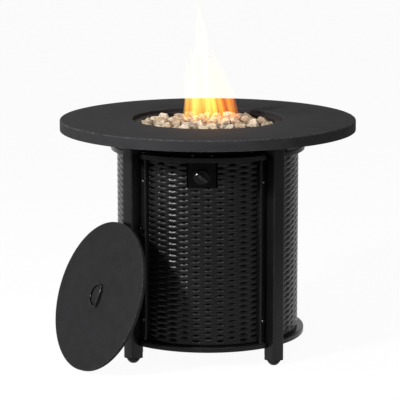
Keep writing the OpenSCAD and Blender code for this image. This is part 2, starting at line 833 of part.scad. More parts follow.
module base_tray() {
    color("darkslategray") difference() {
        translate([0, 0, tray_z - ring_lip]) union() {
            translate([0, 0, ring_lip - ring_sheet]) cylinder(r = ring_r, h = ring_sheet);
            ring(ring_r - ring_sheet, ring_r, ring_lip);
        }
        leg_notches();
        at_pivot() cylinder(r = bush_r + screw_play, h = table_h);
        for (a = LEGS) at_leg(a) translate([leg_in_r - bracket_bolt_at, 0, tray_under_z - cut])
            cylinder(r = bracket_bolt_r + screw_play, h = ring_sheet + 2 * cut);
        for (a = [0 : 60 : 300]) rotate([0, 0, a])
            translate([vent_circle_r, 0, tray_under_z - cut])
                cylinder(r = vent_r, h = ring_sheet + 2 * cut);
    }
}

module tank_ring() {
    color("gray") translate([0, 0, tray_z])
        ring(tank_ring_r, tank_ring_r + tank_ring_wall, tank_ring_h);
}

module leg(a) {
    color("dimgray") difference() {
        at_leg(a) translate([leg_mid_r, 0, leg_bottom_z]) linear_extrude(leg_top_z - leg_bottom_z)
            difference() {
                round_square(leg_w, leg_corner_r);
                round_square(leg_w - 2 * leg_wall, leg_corner_r - leg_wall);
            }
        at_panel_screws(a) cylinder(r = panel_screw_r + screw_play, h = panel_screw_grip);
        at_leg_bolts(a) cylinder(r = bracket_bolt_r + screw_play, h = bracket_bolt_len);
    }
}

module leg_front_left() {
    leg(front_left);
}

module leg_front_right() {
    leg(front_right);
}

module leg_rear_right() {
    leg(rear_right);
}

module leg_rear_left() {
    leg(rear_left);
}

module leg_plugs() {
    inner_w = leg_w - 2 * leg_wall - 2 * screw_play;
    z = leg_bottom_z - plug_flange;
    color("black") for (a = LEGS) at_leg(a) translate([leg_mid_r, 0, z]) difference() {
        union() {
            linear_extrude(plug_flange) round_square(leg_w, leg_corner_r);
            linear_extrude(plug_flange + plug_depth)
                round_square(inner_w, leg_corner_r - leg_wall);
        }
        translate([0, 0, -cut])
            cylinder(r = stud_r + run_fit, h = plug_flange + plug_depth + 2 * cut);
    }
}

// Levelling foot with its stud moulded in.
module foot(a) {
    color("dimgray") at_leg(a) translate([leg_mid_r, 0, 0]) union() {
        rotate_extrude() polygon([[0, 0], [pad_flat_r, 0], [(pad_r + pad_flat_r) / 2 + 0.8, pad_h * 0.36],
            [pad_r, pad_h * 0.76], [pad_r, pad_h], [0, pad_h]]);
        translate([0, 0, pad_h - cut]) cylinder(r = stud_r, h = stud_len + cut);
    }
}

module foot_front_left() {
    foot(front_left);
}

module foot_front_right() {
    foot(front_right);
}

module foot_rear_right() {
    foot(rear_right);
}

module foot_rear_left() {
    foot(rear_left);
}

module upper_brackets() {
    color("gray") for (a = LEGS) difference() {
        at_leg(a) union() {
            translate([leg_in_r - bracket_t, -bracket_w / 2, leg_top_z - bracket_leaf])
                cube([bracket_t, bracket_w, bracket_leaf]);
            translate([leg_in_r - upper_foot_len, -bracket_w / 2, leg_top_z - bracket_t])
                cube([upper_foot_len, bracket_w, bracket_t]);
        }
        at_leg_bolts(a) translate([0, 0, -cut])
            cylinder(r = bracket_bolt_r + screw_play, h = bracket_t + 2 * cut);
        at_leg(a) translate([upper_bolt_r, 0, leg_top_z - bracket_t - cut])
            cylinder(r = bracket_bolt_r + screw_play, h = bracket_t + 2 * cut);
    }
}

module lower_brackets() {
    color("gray") for (a = LEGS) difference() {
        at_leg(a) union() {
            translate([leg_in_r - bracket_t, -bracket_w / 2, tray_under_z - bracket_leaf])
                cube([bracket_t, bracket_w, bracket_leaf]);
            translate([leg_in_r - bracket_leaf, -bracket_w / 2, tray_under_z - bracket_t])
                cube([bracket_leaf, bracket_w, bracket_t]);
        }
        at_leg_bolts(a) translate([0, 0, -cut])
            cylinder(r = bracket_bolt_r + screw_play, h = bracket_t + 2 * cut);
        at_leg(a) translate([leg_in_r - bracket_bolt_at, 0, tray_under_z - bracket_t - cut])
            cylinder(r = bracket_bolt_r + screw_play, h = bracket_t + 2 * cut);
    }
}

module bracket_bolts() {
    color("silver") for (a = LEGS) {
        at_leg_bolts(a) screw(bracket_bolt_r, bracket_bolt_len, bracket_head_r, bracket_head_h);
        at_leg(a) translate([upper_bolt_r, 0, leg_top_z - bracket_t])
            screw(bracket_bolt_r, bracket_bolt_len, bracket_head_r, bracket_head_h);
        at_leg(a) translate([leg_in_r - bracket_bolt_at, 0, tray_z]) rotate([180, 0, 0])
            screw(bracket_bolt_r, bracket_bolt_len, bracket_head_r, bracket_head_h);
    }
}

// Fixed panel from one leg round to the next, drilled for its screws.
module panel(a) {
    trim = asin(panel_gap / 2 / drum_r);
    difference() {
        drum_wall(a + trim, 90 - 2 * trim, panel_in_r, drum_r, tray_z, panel_top_z - tray_z);
        for (leg_turn = [a, a + 90 > 180 ? a - 270 : a + 90]) at_panel_screws(leg_turn)
            translate([0, 0, -cut]) cylinder(r = panel_screw_r + screw_play, h = panel_screw_grip);
    }
}

module left_panel() {
    color("darkslategray") panel(rear_left);
}

module right_panel() {
    color("darkslategray") panel(front_right);
}

module rear_panel() {
    color("darkslategray") panel(rear_right);
}

module panel_screws() {
    color("silver") for (a = LEGS) at_panel_screws(a)
        screw(panel_screw_r, panel_screw_grip, panel_screw_head_r, panel_screw_head_h);
}

// Door

module door_panel() {
    h = door_top_z - door_z;
    notch_w = plate_w + 2 * plate_side_gap;
    color("slategray") difference() {
        drum_wall(front_left, front_right - front_left, panel_in_r, drum_r, door_z, h);
        at_leg(front_left) translate([0, -drum_r, 0]) cube([ring_r, drum_r + door_edge, table_h]);
        at_leg(front_right) translate([0, -door_edge, 0]) cube([ring_r, drum_r, table_h]);
        translate([-notch_w / 2, -ring_r, plate_z - plate_under_gap])
            cube([notch_w, ring_r, table_h]);
        at_stile_screws() translate([0, 0, -2 * stile_d - panel_t])
            cylinder(r = stile_screw_r + screw_play, h = 2 * stile_d + panel_t);
    }
}

// Upright bar on the door's edge, at the distance y from the middle of its leg.
module stile(a, y) {
    color("gray") difference() {
        at_leg(a) translate([panel_in_r - stile_d, y, door_z])
            cube([stile_r - panel_in_r + stile_d, stile_w, door_top_z - door_z]);
        cylinder(r = drum_r + stile_fit, h = table_h);
        at_stile_screws() translate([0, 0, -2 * stile_d])
            cylinder(r = stile_screw_r + screw_play, h = 2 * stile_d + cut);
    }
}

module door_left_stile() {
    stile(front_left, door_edge);
}

module door_right_stile() {
    difference() {
        stile(front_right, -door_edge - stile_w);
        for (z = [door_z - cut, door_top_z - pivot_in]) at_pivot() translate([0, 0, z])
            cylinder(r = pivot_r + run_fit, h = pivot_in + cut);
    }
}

module stile_screws() {
    shank = stile_d + panel_t;
    color("silver") at_stile_screws() rotate([180, 0, 0])
        screw(stile_screw_r, shank, stile_screw_head_r, stile_screw_head_h);
}

module door_pull() {
    color("silver") at_leg(front_left) translate([stile_r, stile_mid, pull_z]) rotate([0, 90, 0])
        rotate_extrude() polygon([[0, 0], [pull_neck_r + 1, 0], [pull_neck_r, 2],
            [pull_neck_r, pull_reach - pull_head_h], [pull_r, pull_reach - pull_head_h + 1],
            [pull_r, pull_reach - 2], [pull_r - 2, pull_reach], [0, pull_reach]]);
}

module strike_plates() {
    turn = asin((door_edge + strike_from) / panel_in_r);
    sweep = asin((door_edge + strike_from + strike_w) / panel_in_r) - turn;
    color("silver") for (z = catch_zs) drum_wall(front_left + turn, sweep, panel_in_r - strike_t,
        panel_in_r, z - strike_h / 2, strike_h);
}

module magnet_catches() {
    foot_from = leg_w / 2 - catch_foot_w - 2;
    arm_to = door_edge + strike_from + strike_w;
    in_r = catch_r - catch_depth;
    color("black") for (z = catch_zs) union() {
        at_leg(front_left) translate([in_r, foot_from, z - catch_h / 2])
            cube([leg_in_r - in_r, catch_foot_w, catch_h]);
        intersection() {
            at_leg(front_left) translate([in_r, foot_from + catch_foot_w - cut, z - catch_h / 2])
                cube([catch_depth, arm_to - foot_from - catch_foot_w + cut, catch_h]);
            cylinder(r = catch_r, h = table_h);
        }
    }
}

// Pins in the ends of the right stile, which turn in the tray and in the upper ring.
module pivot_pins() {
    low_z = tray_under_z - pivot_over;
    high_z = upper_ring_z + pivot_over;
    color("silver") at_pivot() {
        translate([0, 0, low_z]) cylinder(r = pivot_r, h = door_z + pivot_in - low_z);
        translate([0, 0, door_top_z - pivot_in])
            cylinder(r = pivot_r, h = high_z - door_top_z + pivot_in);
    }
}

// Bush through the sheet of a ring, with its flange on the side of the door.
module pivot_bush(flange_z, sheet_z) {
    at_pivot() difference() {
        union() {
            translate([0, 0, sheet_z]) cylinder(r = bush_r, h = ring_sheet);
            translate([0, 0, flange_z]) cylinder(r = bush_flange_r, h = bush_flange_h);
        }
        cylinder(r = pivot_r + run_fit, h = table_h);
    }
}

module pivot_bushes() {
    color("white") {
        pivot_bush(tray_z, tray_under_z);
        pivot_bush(panel_top_z - bush_flange_h, panel_top_z);
    }
}

// Control plate, knob and valve

module control_plate() {
    color("black") difference() {
        union() {
            translate([-plate_w / 2, -plate_f, plate_z])
                cube([plate_w, plate_t, panel_top_z - plate_z]);
            translate([-plate_w / 2, -plate_f, panel_top_z - plate_t])
                cube([plate_w, plate_f - plate_flange_f, plate_t]);
        }
        at_knob() translate([0, 0, plate_back_f - cut])
            cylinder(r = stem_hole_r, h = plate_t + 2 * cut);
        for (x = [-plate_screw_x, plate_screw_x])
            translate([x, -plate_screw_f, panel_top_z - plate_t - cut])
                cylinder(r = plate_screw_r + screw_play, h = plate_t + 2 * cut);
    }
}

module plate_screws() {
    color("silver") for (x = [-plate_screw_x, plate_screw_x])
        translate([x, -plate_screw_f, upper_ring_z]) rotate([180, 0, 0])
            screw(plate_screw_r, ring_sheet + plate_t + 3, plate_screw_head_r, plate_screw_head_h);
}

module knob_bezel() {
    color("dimgray") at_knob() translate([0, 0, plate_f]) ring(bezel_in_r, bezel_r, bezel_t);
}

module knob() {
    color("black") at_knob() translate([0, 0, knob_f]) difference() {
        union() {
            cylinder(r = knob_r, h = knob_skirt * 0.6);
            translate([0, 0, knob_skirt * 0.6])
                cylinder(r1 = knob_r, r2 = knob_top_r, h = knob_skirt * 0.4);
            intersection() {
                rotate([0, 0, grip_turn]) translate([-grip_w / 2, -knob_r, knob_skirt - cut])
                    cube([grip_w, 2 * knob_r, knob_grip + cut]);
                cylinder(r = grip_edge_r, h = knob_skirt + knob_grip);
            }
        }
        translate([0, 0, -cut]) cylinder(r = stem_r + run_fit, h = socket_len + cut);
        rotate([0, 0, grip_turn])
            translate([0, pointer_at, knob_skirt + knob_grip - pointer_len])
                cylinder(r = pointer_r + run_fit, h = pointer_len + cut);
    }
}

module knob_pointer() {
    color("white") at_knob() rotate([0, 0, grip_turn])
        translate([0, pointer_at, knob_f + knob_skirt + knob_grip - pointer_len])
            cylinder(r = pointer_r, h = pointer_len + pointer_proud);
}

module valve_stem() {
    back = plug_f - stem_grip;
    color("silver") at_knob() translate([0, 0, back])
        cylinder(r = stem_r, h = knob_f + socket_len - back);
}

module valve_plug() {
    socket = stem_grip + push_travel + 2;
    color("goldenrod") at_knob() translate([0, 0, plug_back_f]) difference() {
        cylinder(r = plug_r, h = plug_len);
        translate([0, 0, plug_len - socket]) cylinder(r = stem_r + run_fit, h = socket + cut);
    }
}

module valve_body() {
    inlet_y = -valve_h / 2 - inlet_len;
    color("darkgoldenrod") at_knob() difference() {
        union() {
            translate([-valve_w / 2, -valve_h / 2, valve_f]) cube([valve_w, valve_h, valve_len]);
            translate([0, 0, valve_f + valve_len]) cylinder(r = valve_boss_r, h = valve_boss_len);
            translate([0, -valve_h / 2, inlet_f]) rotate([90, 0, 0])
                cylinder(r = inlet_r, h = inlet_len);
            translate([0, outlet_up, valve_f - outlet_len])
                cylinder(r = outlet_r, h = outlet_len);
        }
        translate([0, 0, plug_back_f - screw_play])
            cylinder(r = plug_r + run_fit, h = plug_len + 2 * screw_play);
        translate([0, 0, plug_f]) cylinder(r = stem_r + part_gap, h = valve_len);
        translate([0, inlet_y - cut, inlet_f]) rotate([-90, 0, 0])
            cylinder(r = passage_r, h = -inlet_y + cut);
        translate([0, outlet_up, valve_f - outlet_len - cut])
            cylinder(r = passage_r, h = outlet_len + plug_back_f - valve_f + 2 * cut);
    }
}

module piezo_igniter() {
    color("white") at_knob() translate([valve_w / 2, -piezo_h / 2, piezo_f])
        cube([piezo_w, piezo_h, piezo_len]);
}

// Lid

module lid_cover() {
    e = lid_edge_r;
    color("dimgray") difference() {
        at_lid() rotate_extrude() union() {
            translate([0, -lid_sheet]) square([lid_r - e, lid_sheet]);
            translate([lid_r - lid_sheet, -lid_h]) square([lid_sheet, lid_h - e]);
            translate([lid_r - e, -e]) round_edge(e, lid_sheet);
        }
        at_rivets() translate([0, 0, -lid_sheet - cut])
            cylinder(r = rivet_r + screw_play, h = lid_sheet + 2 * cut);
    }
}

module lid_handle_clip() {
    color("gray") difference() {
        at_lid() translate([ring_bar_x, 0, 0]) difference() {
            union() {
                translate([-clip_flange, -clip_half, 0])
                    cube([2 * clip_flange, 2 * clip_half, clip_t]);
                intersection() {
                    translate([0, clip_half, ring_lift]) rotate([90, 0, 0])
                        cylinder(r = ring_wire_r + clip_wall, h = 2 * clip_half);
                    translate([-clip_flange, -clip_half, 0])
                        cube([2 * clip_flange, 2 * clip_half, 2 * ring_lift + clip_wall]);
                }
            }
            translate([0, clip_half + cut, ring_lift]) rotate([90, 0, 0])
                cylinder(r = ring_wire_r + run_fit, h = 2 * clip_half + 2 * cut);
        }
        at_rivets() translate([0, 0, -cut]) cylinder(r = rivet_r + screw_play, h = clip_t + 2 * cut);
    }
}

module lid_rivets() {
    color("silver") at_rivets() translate([0, 0, clip_t]) rotate([180, 0, 0])
        screw(rivet_r, clip_t + lid_sheet + 1, rivet_head_r, rivet_head_h);
}

module lid_handle_ring() {
    r = ring_wire_r;
    bar_half = ring_bow_r - ring_corner_r;
    corner_x = ring_bar_x - ring_corner_r;
    color("darkgray") at_lid() translate([0, 0, ring_lift]) union() {
        translate([ring_bow_x, 0, 0]) rotate([0, 0, 90])
            rotate_extrude(angle = 180, start = 0) translate([ring_bow_r, 0]) circle(r);
        for (s = [-1, 1]) translate([ring_bow_x, s * ring_bow_r, 0]) rotate([0, 90, 0])
            cylinder(r = r, h = corner_x - ring_bow_x);
        translate([corner_x, bar_half, 0]) rotate_extrude(angle = 90, start = 0)
            translate([ring_corner_r, 0]) circle(r);
        translate([corner_x, -bar_half, 0]) rotate([0, 0, -90])
            rotate_extrude(angle = 90, start = 0) translate([ring_corner_r, 0]) circle(r);
        translate([ring_bar_x, bar_half, 0]) rotate([90, 0, 0]) cylinder(r = r, h = 2 * bar_half);
    }
}

table_top();
top_rim();
top_channel();
fire_pan();
burner_ring();
burner_nipple();
burner_locknut();
air_mixer();
orifice_fitting();
gas_pipe();
sensor_bracket();
electrode_insulator();
electrode_rod();
ignition_wire();
thermocouple();
heat_shield();
shield_spacers();
lava_rocks_lower();
lava_rocks_upper();
upper_ring();
base_tray();
tank_ring();
leg_front_left();
leg_front_right();
leg_rear_right();
leg_rear_left();
leg_plugs();
upper_brackets();
lower_brackets();
bracket_bolts();
left_panel();
right_panel();
rear_panel();
panel_screws();
foot_front_left();
foot_front_right();
foot_rear_right();
foot_rear_left();
door_panel();
door_left_stile();
door_right_stile();
stile_screws();
door_pull();
strike_plates();
magnet_catches();
pivot_pins();
pivot_bushes();
control_plate();
plate_screws();
knob_bezel();
knob();
knob_pointer();
valve_stem();
valve_plug();
valve_body();
piezo_igniter();
lid_cover();
lid_handle_clip();
lid_rivets();
lid_handle_ring();
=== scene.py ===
"""Looks of the round gas fire pit table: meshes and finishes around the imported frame.

Sizes of the pieces and of the flame are in millimetres. Those of the finishes, the camera and the
studio are in metres. Angles are in degrees.
"""

import json
import logging
import math
from dataclasses import dataclass
from enum import Enum
from typing import Any, Callable, ClassVar, Optional, Sequence

import bmesh
import bpy
import numpy as np
from mathutils import Matrix, Vector, noise


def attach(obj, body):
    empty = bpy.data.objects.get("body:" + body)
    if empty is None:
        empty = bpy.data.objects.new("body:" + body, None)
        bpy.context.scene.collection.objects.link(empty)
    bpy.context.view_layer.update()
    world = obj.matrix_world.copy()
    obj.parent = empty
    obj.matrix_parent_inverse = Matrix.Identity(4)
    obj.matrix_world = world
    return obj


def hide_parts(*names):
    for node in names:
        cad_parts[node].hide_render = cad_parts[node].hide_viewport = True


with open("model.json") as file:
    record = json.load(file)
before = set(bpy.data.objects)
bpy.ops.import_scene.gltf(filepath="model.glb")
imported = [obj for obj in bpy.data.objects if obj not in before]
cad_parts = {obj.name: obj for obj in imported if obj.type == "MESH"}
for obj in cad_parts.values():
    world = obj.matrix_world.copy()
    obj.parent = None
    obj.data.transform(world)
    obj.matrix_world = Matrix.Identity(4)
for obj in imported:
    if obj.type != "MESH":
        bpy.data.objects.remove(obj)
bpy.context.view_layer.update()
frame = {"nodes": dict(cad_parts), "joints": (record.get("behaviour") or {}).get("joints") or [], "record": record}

MM = 0.001
TINY = 1e-6
CORNER_SHARE = 0.49
FINE_TURN = 192
LOG = logging.getLogger("fire_pit_table")

Colour = tuple[float, float, float]
Corner = tuple[float, float, float]
Span = tuple[float, float]
Outline = list[Corner]
Corners = Sequence[Sequence[float]]
Socket = bpy.types.NodeSocket
Material = bpy.types.Material
Piece = bpy.types.Object


class Slot(Enum):
    """Finishes of the part, named as its record names them."""

    TOP_PAINT = "top_paint"
    BLACK_PAINT = "black_paint"
    ENAMEL = "enamel"
    STAINLESS = "stainless"
    ZINC_STEEL = "zinc_steel"
    CAST_MIXER = "cast_mixer"
    BRASS = "brass"
    VALVE_CASTING = "valve_casting"
    CERAMIC = "ceramic"
    NYLON = "nylon"
    SILICONE = "silicone"
    LAVA = "lava"
    BLACK_PLASTIC = "black_plastic"
    WHITE_PAINT = "white_paint"
    BLACK_CHROME = "black_chrome"


class Leg(Enum):
    """Directions of the four legs, in degrees from the right-hand side."""

    FRONT_LEFT = -135.0
    FRONT_RIGHT = -45.0
    REAR_RIGHT = 45.0
    REAR_LEFT = 135.0

    def stand(self) -> Matrix:
        """Gives the frame of the leg: x outward, y round the drum, z up."""
        return Matrix.Rotation(math.radians(self.value), 4, "Z")


class NodeSketch:
    """Writes one node tree, node by node."""

    def __init__(self, tree: bpy.types.NodeTree) -> None:
        """Starts from a tree, whose nodes are cleared."""
        self.tree = tree
        tree.nodes.clear()

    def add(self, kind: str, feeds: Optional[dict[Any, Any]] = None, **settings: Any) -> bpy.types.Node:
        """Adds a node.

        Args:
            kind: type name of the node.
            feeds: value or socket for each input, by name or number.
            settings: properties of the node.

        Returns:
            The new node.
        """
        node = self.tree.nodes.new(kind)
        for name, value in settings.items():
            setattr(node, name, value)
        for key, value in (feeds or {}).items():
            if isinstance(value, Socket):
                self.tree.links.new(value, node.inputs[key])
            else:
                node.inputs[key].default_value = value
        return node

    def span(self, value: Socket, low: float, high: float, to_low: Any, to_high: Any) -> Socket:
        """Maps the span from low to high on the span from to_low to to_high."""
        feeds = {0: value, 1: low, 2: high, 3: to_low, 4: to_high}
        return self.add("ShaderNodeMapRange", feeds).outputs[0]

    def mix(self, factor: Any, first: Any, second: Any, blend: str = "MIX") -> Socket:
        """Mixes two colours, where factor is the share of the second."""
        feeds = {0: factor, 6: as_rgba(first), 7: as_rgba(second)}
        return self.add("ShaderNodeMix", feeds, data_type="RGBA", blend_type=blend).outputs[2]

    def combine(self, operation: str, first: Any, second: Any) -> Socket:
        """Combines two values by a named operation."""
        return self.add("ShaderNodeMath", {0: first, 1: second}, operation=operation).outputs[0]

    def product(self, first: Any, second: Any) -> Socket:
        """Multiplies two values."""
        return self.combine("MULTIPLY", first, second)

    def measure(self, operation: str, first: Any, second: Any) -> Socket:
        """Makes one value of two places by a named operation."""
        return self.add("ShaderNodeVectorMath", {0: first, 1: second}, operation=operation).outputs["Value"]

    def spot(self) -> Socket:
        """Gives the place of each point on its object."""
        return self.add("ShaderNodeTexCoord").outputs["Object"]

    def attribute(self, name: str) -> Socket:
        """Gives a value that the mesh carries at its points."""
        return self.add("ShaderNodeAttribute", attribute_name=name).outputs["Fac"]

    def cloud(self, spot: Socket, scale: Any, detail: Any, roughness: float = 0.5) -> Socket:
        """Draws soft noise over the places that spot gives."""
        feeds = {"Vector": spot, "Scale": scale, "Detail": detail, "Roughness": roughness}
        return self.add("ShaderNodeTexNoise", feeds).outputs[0]

    def bump(self, height: Socket, depth: float, strength: float = 1.0) -> Socket:
        """Turns heights into normals, where depth is the real depth in metres."""
        feeds = {"Height": height, "Strength": strength, "Distance": depth}
        return self.add("ShaderNodeBump", feeds).outputs[0]

    def place(self, group: bpy.types.NodeTree, **values: Any) -> Socket:
        """Places an effect with its own values, and gives what it puts out."""
        return self.add("ShaderNodeGroup", values, node_tree=group).outputs[0]


def as_rgba(colour: Any) -> Any:
    """Gives a plain colour its fourth number, and leaves a socket as it is."""
    return (*colour, 1.0) if isinstance(colour, tuple) and len(colour) == 3 else colour


def blank_material(name: str) -> tuple[Material, NodeSketch]:
    """Starts a material.

    Args:
        name: name of the material.

    Returns:
        The material, and the sketch of its empty node tree.
    """
    made = bpy.data.materials.new(name)
    made.use_nodes = True
    return made, NodeSketch(made.node_tree)


class Effects:
    """Shared shader effects, each a node group that is built once."""

    CLOUD_SPAN: ClassVar[Span] = (0.3, 0.7)
    CLOUD_DETAIL: ClassVar[float] = 4.0
    STREAK_STRETCH: ClassVar[Corner] = (0.05, 1.0, 1.0)
    STREAK_DETAIL: ClassVar[float] = 5.0
    STREAK_ROUGHNESS: ClassVar[float] = 0.62
    WEAR_AND_HIGHLIGHT_SPAN: ClassVar[Span] = (0.42, 0.66)
    WEAR_AND_HIGHLIGHT_DETAIL: ClassVar[float] = 5.0
    FACING_SPAN: ClassVar[Span] = (0.35, 1.0)
    DUST_SPAN: ClassVar[Span] = (0.35, 0.75)
    DUST_DETAIL: ClassVar[float] = 6.0

    def __init__(self) -> None:
        """Builds every effect."""
        ends = {"Low": 0.0, "High": 1.0}
        self.grain = self._group("fine_grain", {"Scale": 900.0, "Detail": 3.0}, "Height", self._grain)
        self.mottle = self._group("mottle", {"Scale": 9.0, **ends}, "Value", self._mottle)
        self.streaks = self._group("brushed_streaks", {"Scale": 40.0, **ends}, "Value", self._streaks)
        # Rubbed edges: bare rubbed paint, and a painted highlight along the rounded edges
        self.wear_and_highlight = self._group("edge_wear_and_highlight", {"Scale": 160.0, "Amount": 0.5}, "Mask", self._wear_and_highlight)
        self.dust = self._group("settled_dust", {"Scale": 25.0, "Amount": 0.3}, "Mask", self._dust)

    @staticmethod
    def _group(name: str, inputs: dict[str, float], output: str,
               draw: Callable[[NodeSketch, bpy.types.Node], Socket]) -> bpy.types.NodeTree:
        """Builds one node group.

        Args:
            name: name of the group.
            inputs: named inputs with their usual values.
            output: name of what it puts out.
            draw: function that draws the inside and gives the output's socket.

        Returns:
            The node group.
        """
        tree = bpy.data.node_groups.new(name, "ShaderNodeTree")
        for label, value in inputs.items():
            socket = tree.interface.new_socket(name=label, in_out="INPUT", socket_type="NodeSocketFloat")
            socket.default_value = value
        tree.interface.new_socket(name=output, in_out="OUTPUT", socket_type="NodeSocketFloat")
        sketch = NodeSketch(tree)
        entry = sketch.add("NodeGroupInput")
        sketch.add("NodeGroupOutput", {0: draw(sketch, entry)})
        return tree

    def _grain(self, sketch: NodeSketch, entry: bpy.types.Node) -> Socket:
        """Draws the fine grain of a sprayed or moulded surface."""
        return sketch.cloud(sketch.spot(), entry.outputs["Scale"], entry.outputs["Detail"])

    def _mottle(self, sketch: NodeSketch, entry: bpy.types.Node) -> Socket:
        """Draws slow unevenness between two values."""
        cloud = sketch.cloud(sketch.spot(), entry.outputs["Scale"], self.CLOUD_DETAIL)
        return sketch.span(cloud, *self.CLOUD_SPAN, entry.outputs["Low"], entry.outputs["High"])

    def _streaks(self, sketch: NodeSketch, entry: bpy.types.Node) -> Socket:
        """Draws faint streaks that run from side to side.

        Args:
            sketch: inside of the group.
            entry: node with the group's inputs.

        Returns:
            The output's socket.
        """
        drawn = sketch.add("ShaderNodeMapping", {"Vector": sketch.spot(), "Scale": self.STREAK_STRETCH})
        cloud = sketch.cloud(drawn.outputs[0], entry.outputs["Scale"], self.STREAK_DETAIL,
                             self.STREAK_ROUGHNESS)
        return sketch.span(cloud, *self.CLOUD_SPAN, entry.outputs["Low"], entry.outputs["High"])

    def _wear_and_highlight(self, sketch: NodeSketch, entry: bpy.types.Node) -> Socket:
        """Draws patchy rubbing along the rounded edges, which the finishes paint lighter: rubbed paint, and a
        painted highlight.

        Args:
            sketch: inside of the group.
            entry: node with the group's inputs.

        Returns:
            The output's socket.
        """
        patch = sketch.cloud(sketch.spot(), entry.outputs["Scale"], self.WEAR_AND_HIGHLIGHT_DETAIL)
        patchy = sketch.product(sketch.attribute("edge"), sketch.span(patch, *self.WEAR_AND_HIGHLIGHT_SPAN, 0.0, 1.0))
        return sketch.product(patchy, entry.outputs["Amount"])

    def _dust(self, sketch: NodeSketch, entry: bpy.types.Node) -> Socket:
        """Draws dust that settles on what faces up.

        Args:
            sketch: inside of the group.
            entry: node with the group's inputs.

        Returns:
            The output's socket.
        """
        normal = sketch.add("ShaderNodeNewGeometry").outputs["Normal"]
        up = sketch.add("ShaderNodeSeparateXYZ", {0: normal}).outputs[2]
        cloud = sketch.cloud(sketch.spot(), entry.outputs["Scale"], self.DUST_DETAIL)
        patchy = sketch.product(sketch.span(up, *self.FACING_SPAN, 0.0, 1.0),
                                sketch.span(cloud, *self.DUST_SPAN, 0.0, 1.0))
        return sketch.product(patchy, entry.outputs["Amount"])


@dataclass(frozen=True)
class Finish:
    """What the finishes of solid pieces share: one surface shader and what feeds it."""

    def material(self, name: str, effects: Effects) -> Material:
        """Builds the finish.

        Args:
            name: name of the material.
            effects: shared effects.

        Returns:
            The material.
        """
        made, sketch = blank_material(name)
        shader = sketch.add("ShaderNodeBsdfPrincipled", self.feeds(sketch, effects))
        sketch.add("ShaderNodeOutputMaterial", {"Surface": shader.outputs[0]})
        return made

    def feeds(self, sketch: NodeSketch, effects: Effects) -> dict[str, Any]:
        """Draws what feeds the shader, by the name of its input."""
        raise NotImplementedError


@dataclass(frozen=True)
class CoatedFinish(Finish):
    """A sprayed, enamelled or moulded finish."""

    colour: Colour
    shade: Colour
    # Colour of rubbed edges: rubbed paint, and a painted highlight along the edges
    worn_and_lit: Colour = (0.09, 0.09, 0.09)
    # Near-black colour of painted shade, laid where the mesh carries its mask
    painted_shade: Optional[Colour] = None
    dusty: Colour = (0.16, 0.155, 0.15)
    roughness: Span = (0.4, 0.5)
    specular: float = 0.4
    metallic: float = 0.0
    grain_scale: float = 900.0
    grain_depth: float = 0.00004
    mottle_scale: float = 9.0
    rough_scale: float = 3.0
    streaks: float = 0.0
    streak_scale: float = 40.0
    wear_and_highlight: float = 0.4
    dust: float = 0.2
    dust_scale: float = 25.0

    def feeds(self, sketch: NodeSketch, effects: Effects) -> dict[str, Any]:
        """Draws the mottled, dusty tone, its rubbed edges that are also a painted highlight, its painted
        shade where the mesh is marked, the roughness and the grain.

        Args:
            sketch: node tree of the material.
            effects: shared effects.

        Returns:
            Value or socket for each input of the shader.
        """
        cloud = sketch.place(effects.mottle, Scale=self.mottle_scale)
        tone = sketch.mix(cloud, self.colour, self.shade)
        if self.streaks:
            lines = sketch.place(effects.streaks, Scale=self.streak_scale, Low=1.0 - self.streaks,
                                 High=1.0 + self.streaks)
            tone = sketch.mix(1.0, tone, lines, "MULTIPLY")
        dust = sketch.place(effects.dust, Scale=self.dust_scale, Amount=self.dust)
        tone = sketch.mix(dust, tone, self.dusty)
        # Rubbed edges painted lighter: partly real rubbing, partly a painted highlight
        if self.wear_and_highlight:
            tone = sketch.mix(sketch.place(effects.wear_and_highlight, Amount=self.wear_and_highlight), tone, self.worn_and_lit)
        # Painted shade: where the mesh is marked, the tone goes to the near-black colour and metallic rises with
        # it, so that its gloss goes too
        metallic: Any = self.metallic
        if self.painted_shade:
            metallic = sketch.attribute("painted_shade")
            tone = sketch.mix(metallic, tone, self.painted_shade)
        low, high = self.roughness
        rough = sketch.place(effects.mottle, Scale=self.mottle_scale * self.rough_scale, Low=low, High=high)
        grain = sketch.place(effects.grain, Scale=self.grain_scale)
        return {"Base Color": tone, "Metallic": metallic, "Roughness": rough,
                "Specular IOR Level": self.specular, "Normal": sketch.bump(grain, self.grain_depth)}


@dataclass(frozen=True)
class MetalFinish(CoatedFinish):
    """A bare or plated metal, which has no coat to rub through and no lighter edges."""

    dusty: Colour = (0.3, 0.28, 0.25)
    roughness: Span = (0.25, 0.4)
    specular: float = 0.5
    metallic: float = 1.0
    grain_scale: float = 700.0
    grain_depth: float = 0.00003
    mottle_scale: float = 30.0
    rough_scale: float = 2.0
    streak_scale: float = 600.0
    wear_and_highlight: float = 0.0
    dust: float = 0.15
    dust_scale: float = 60.0


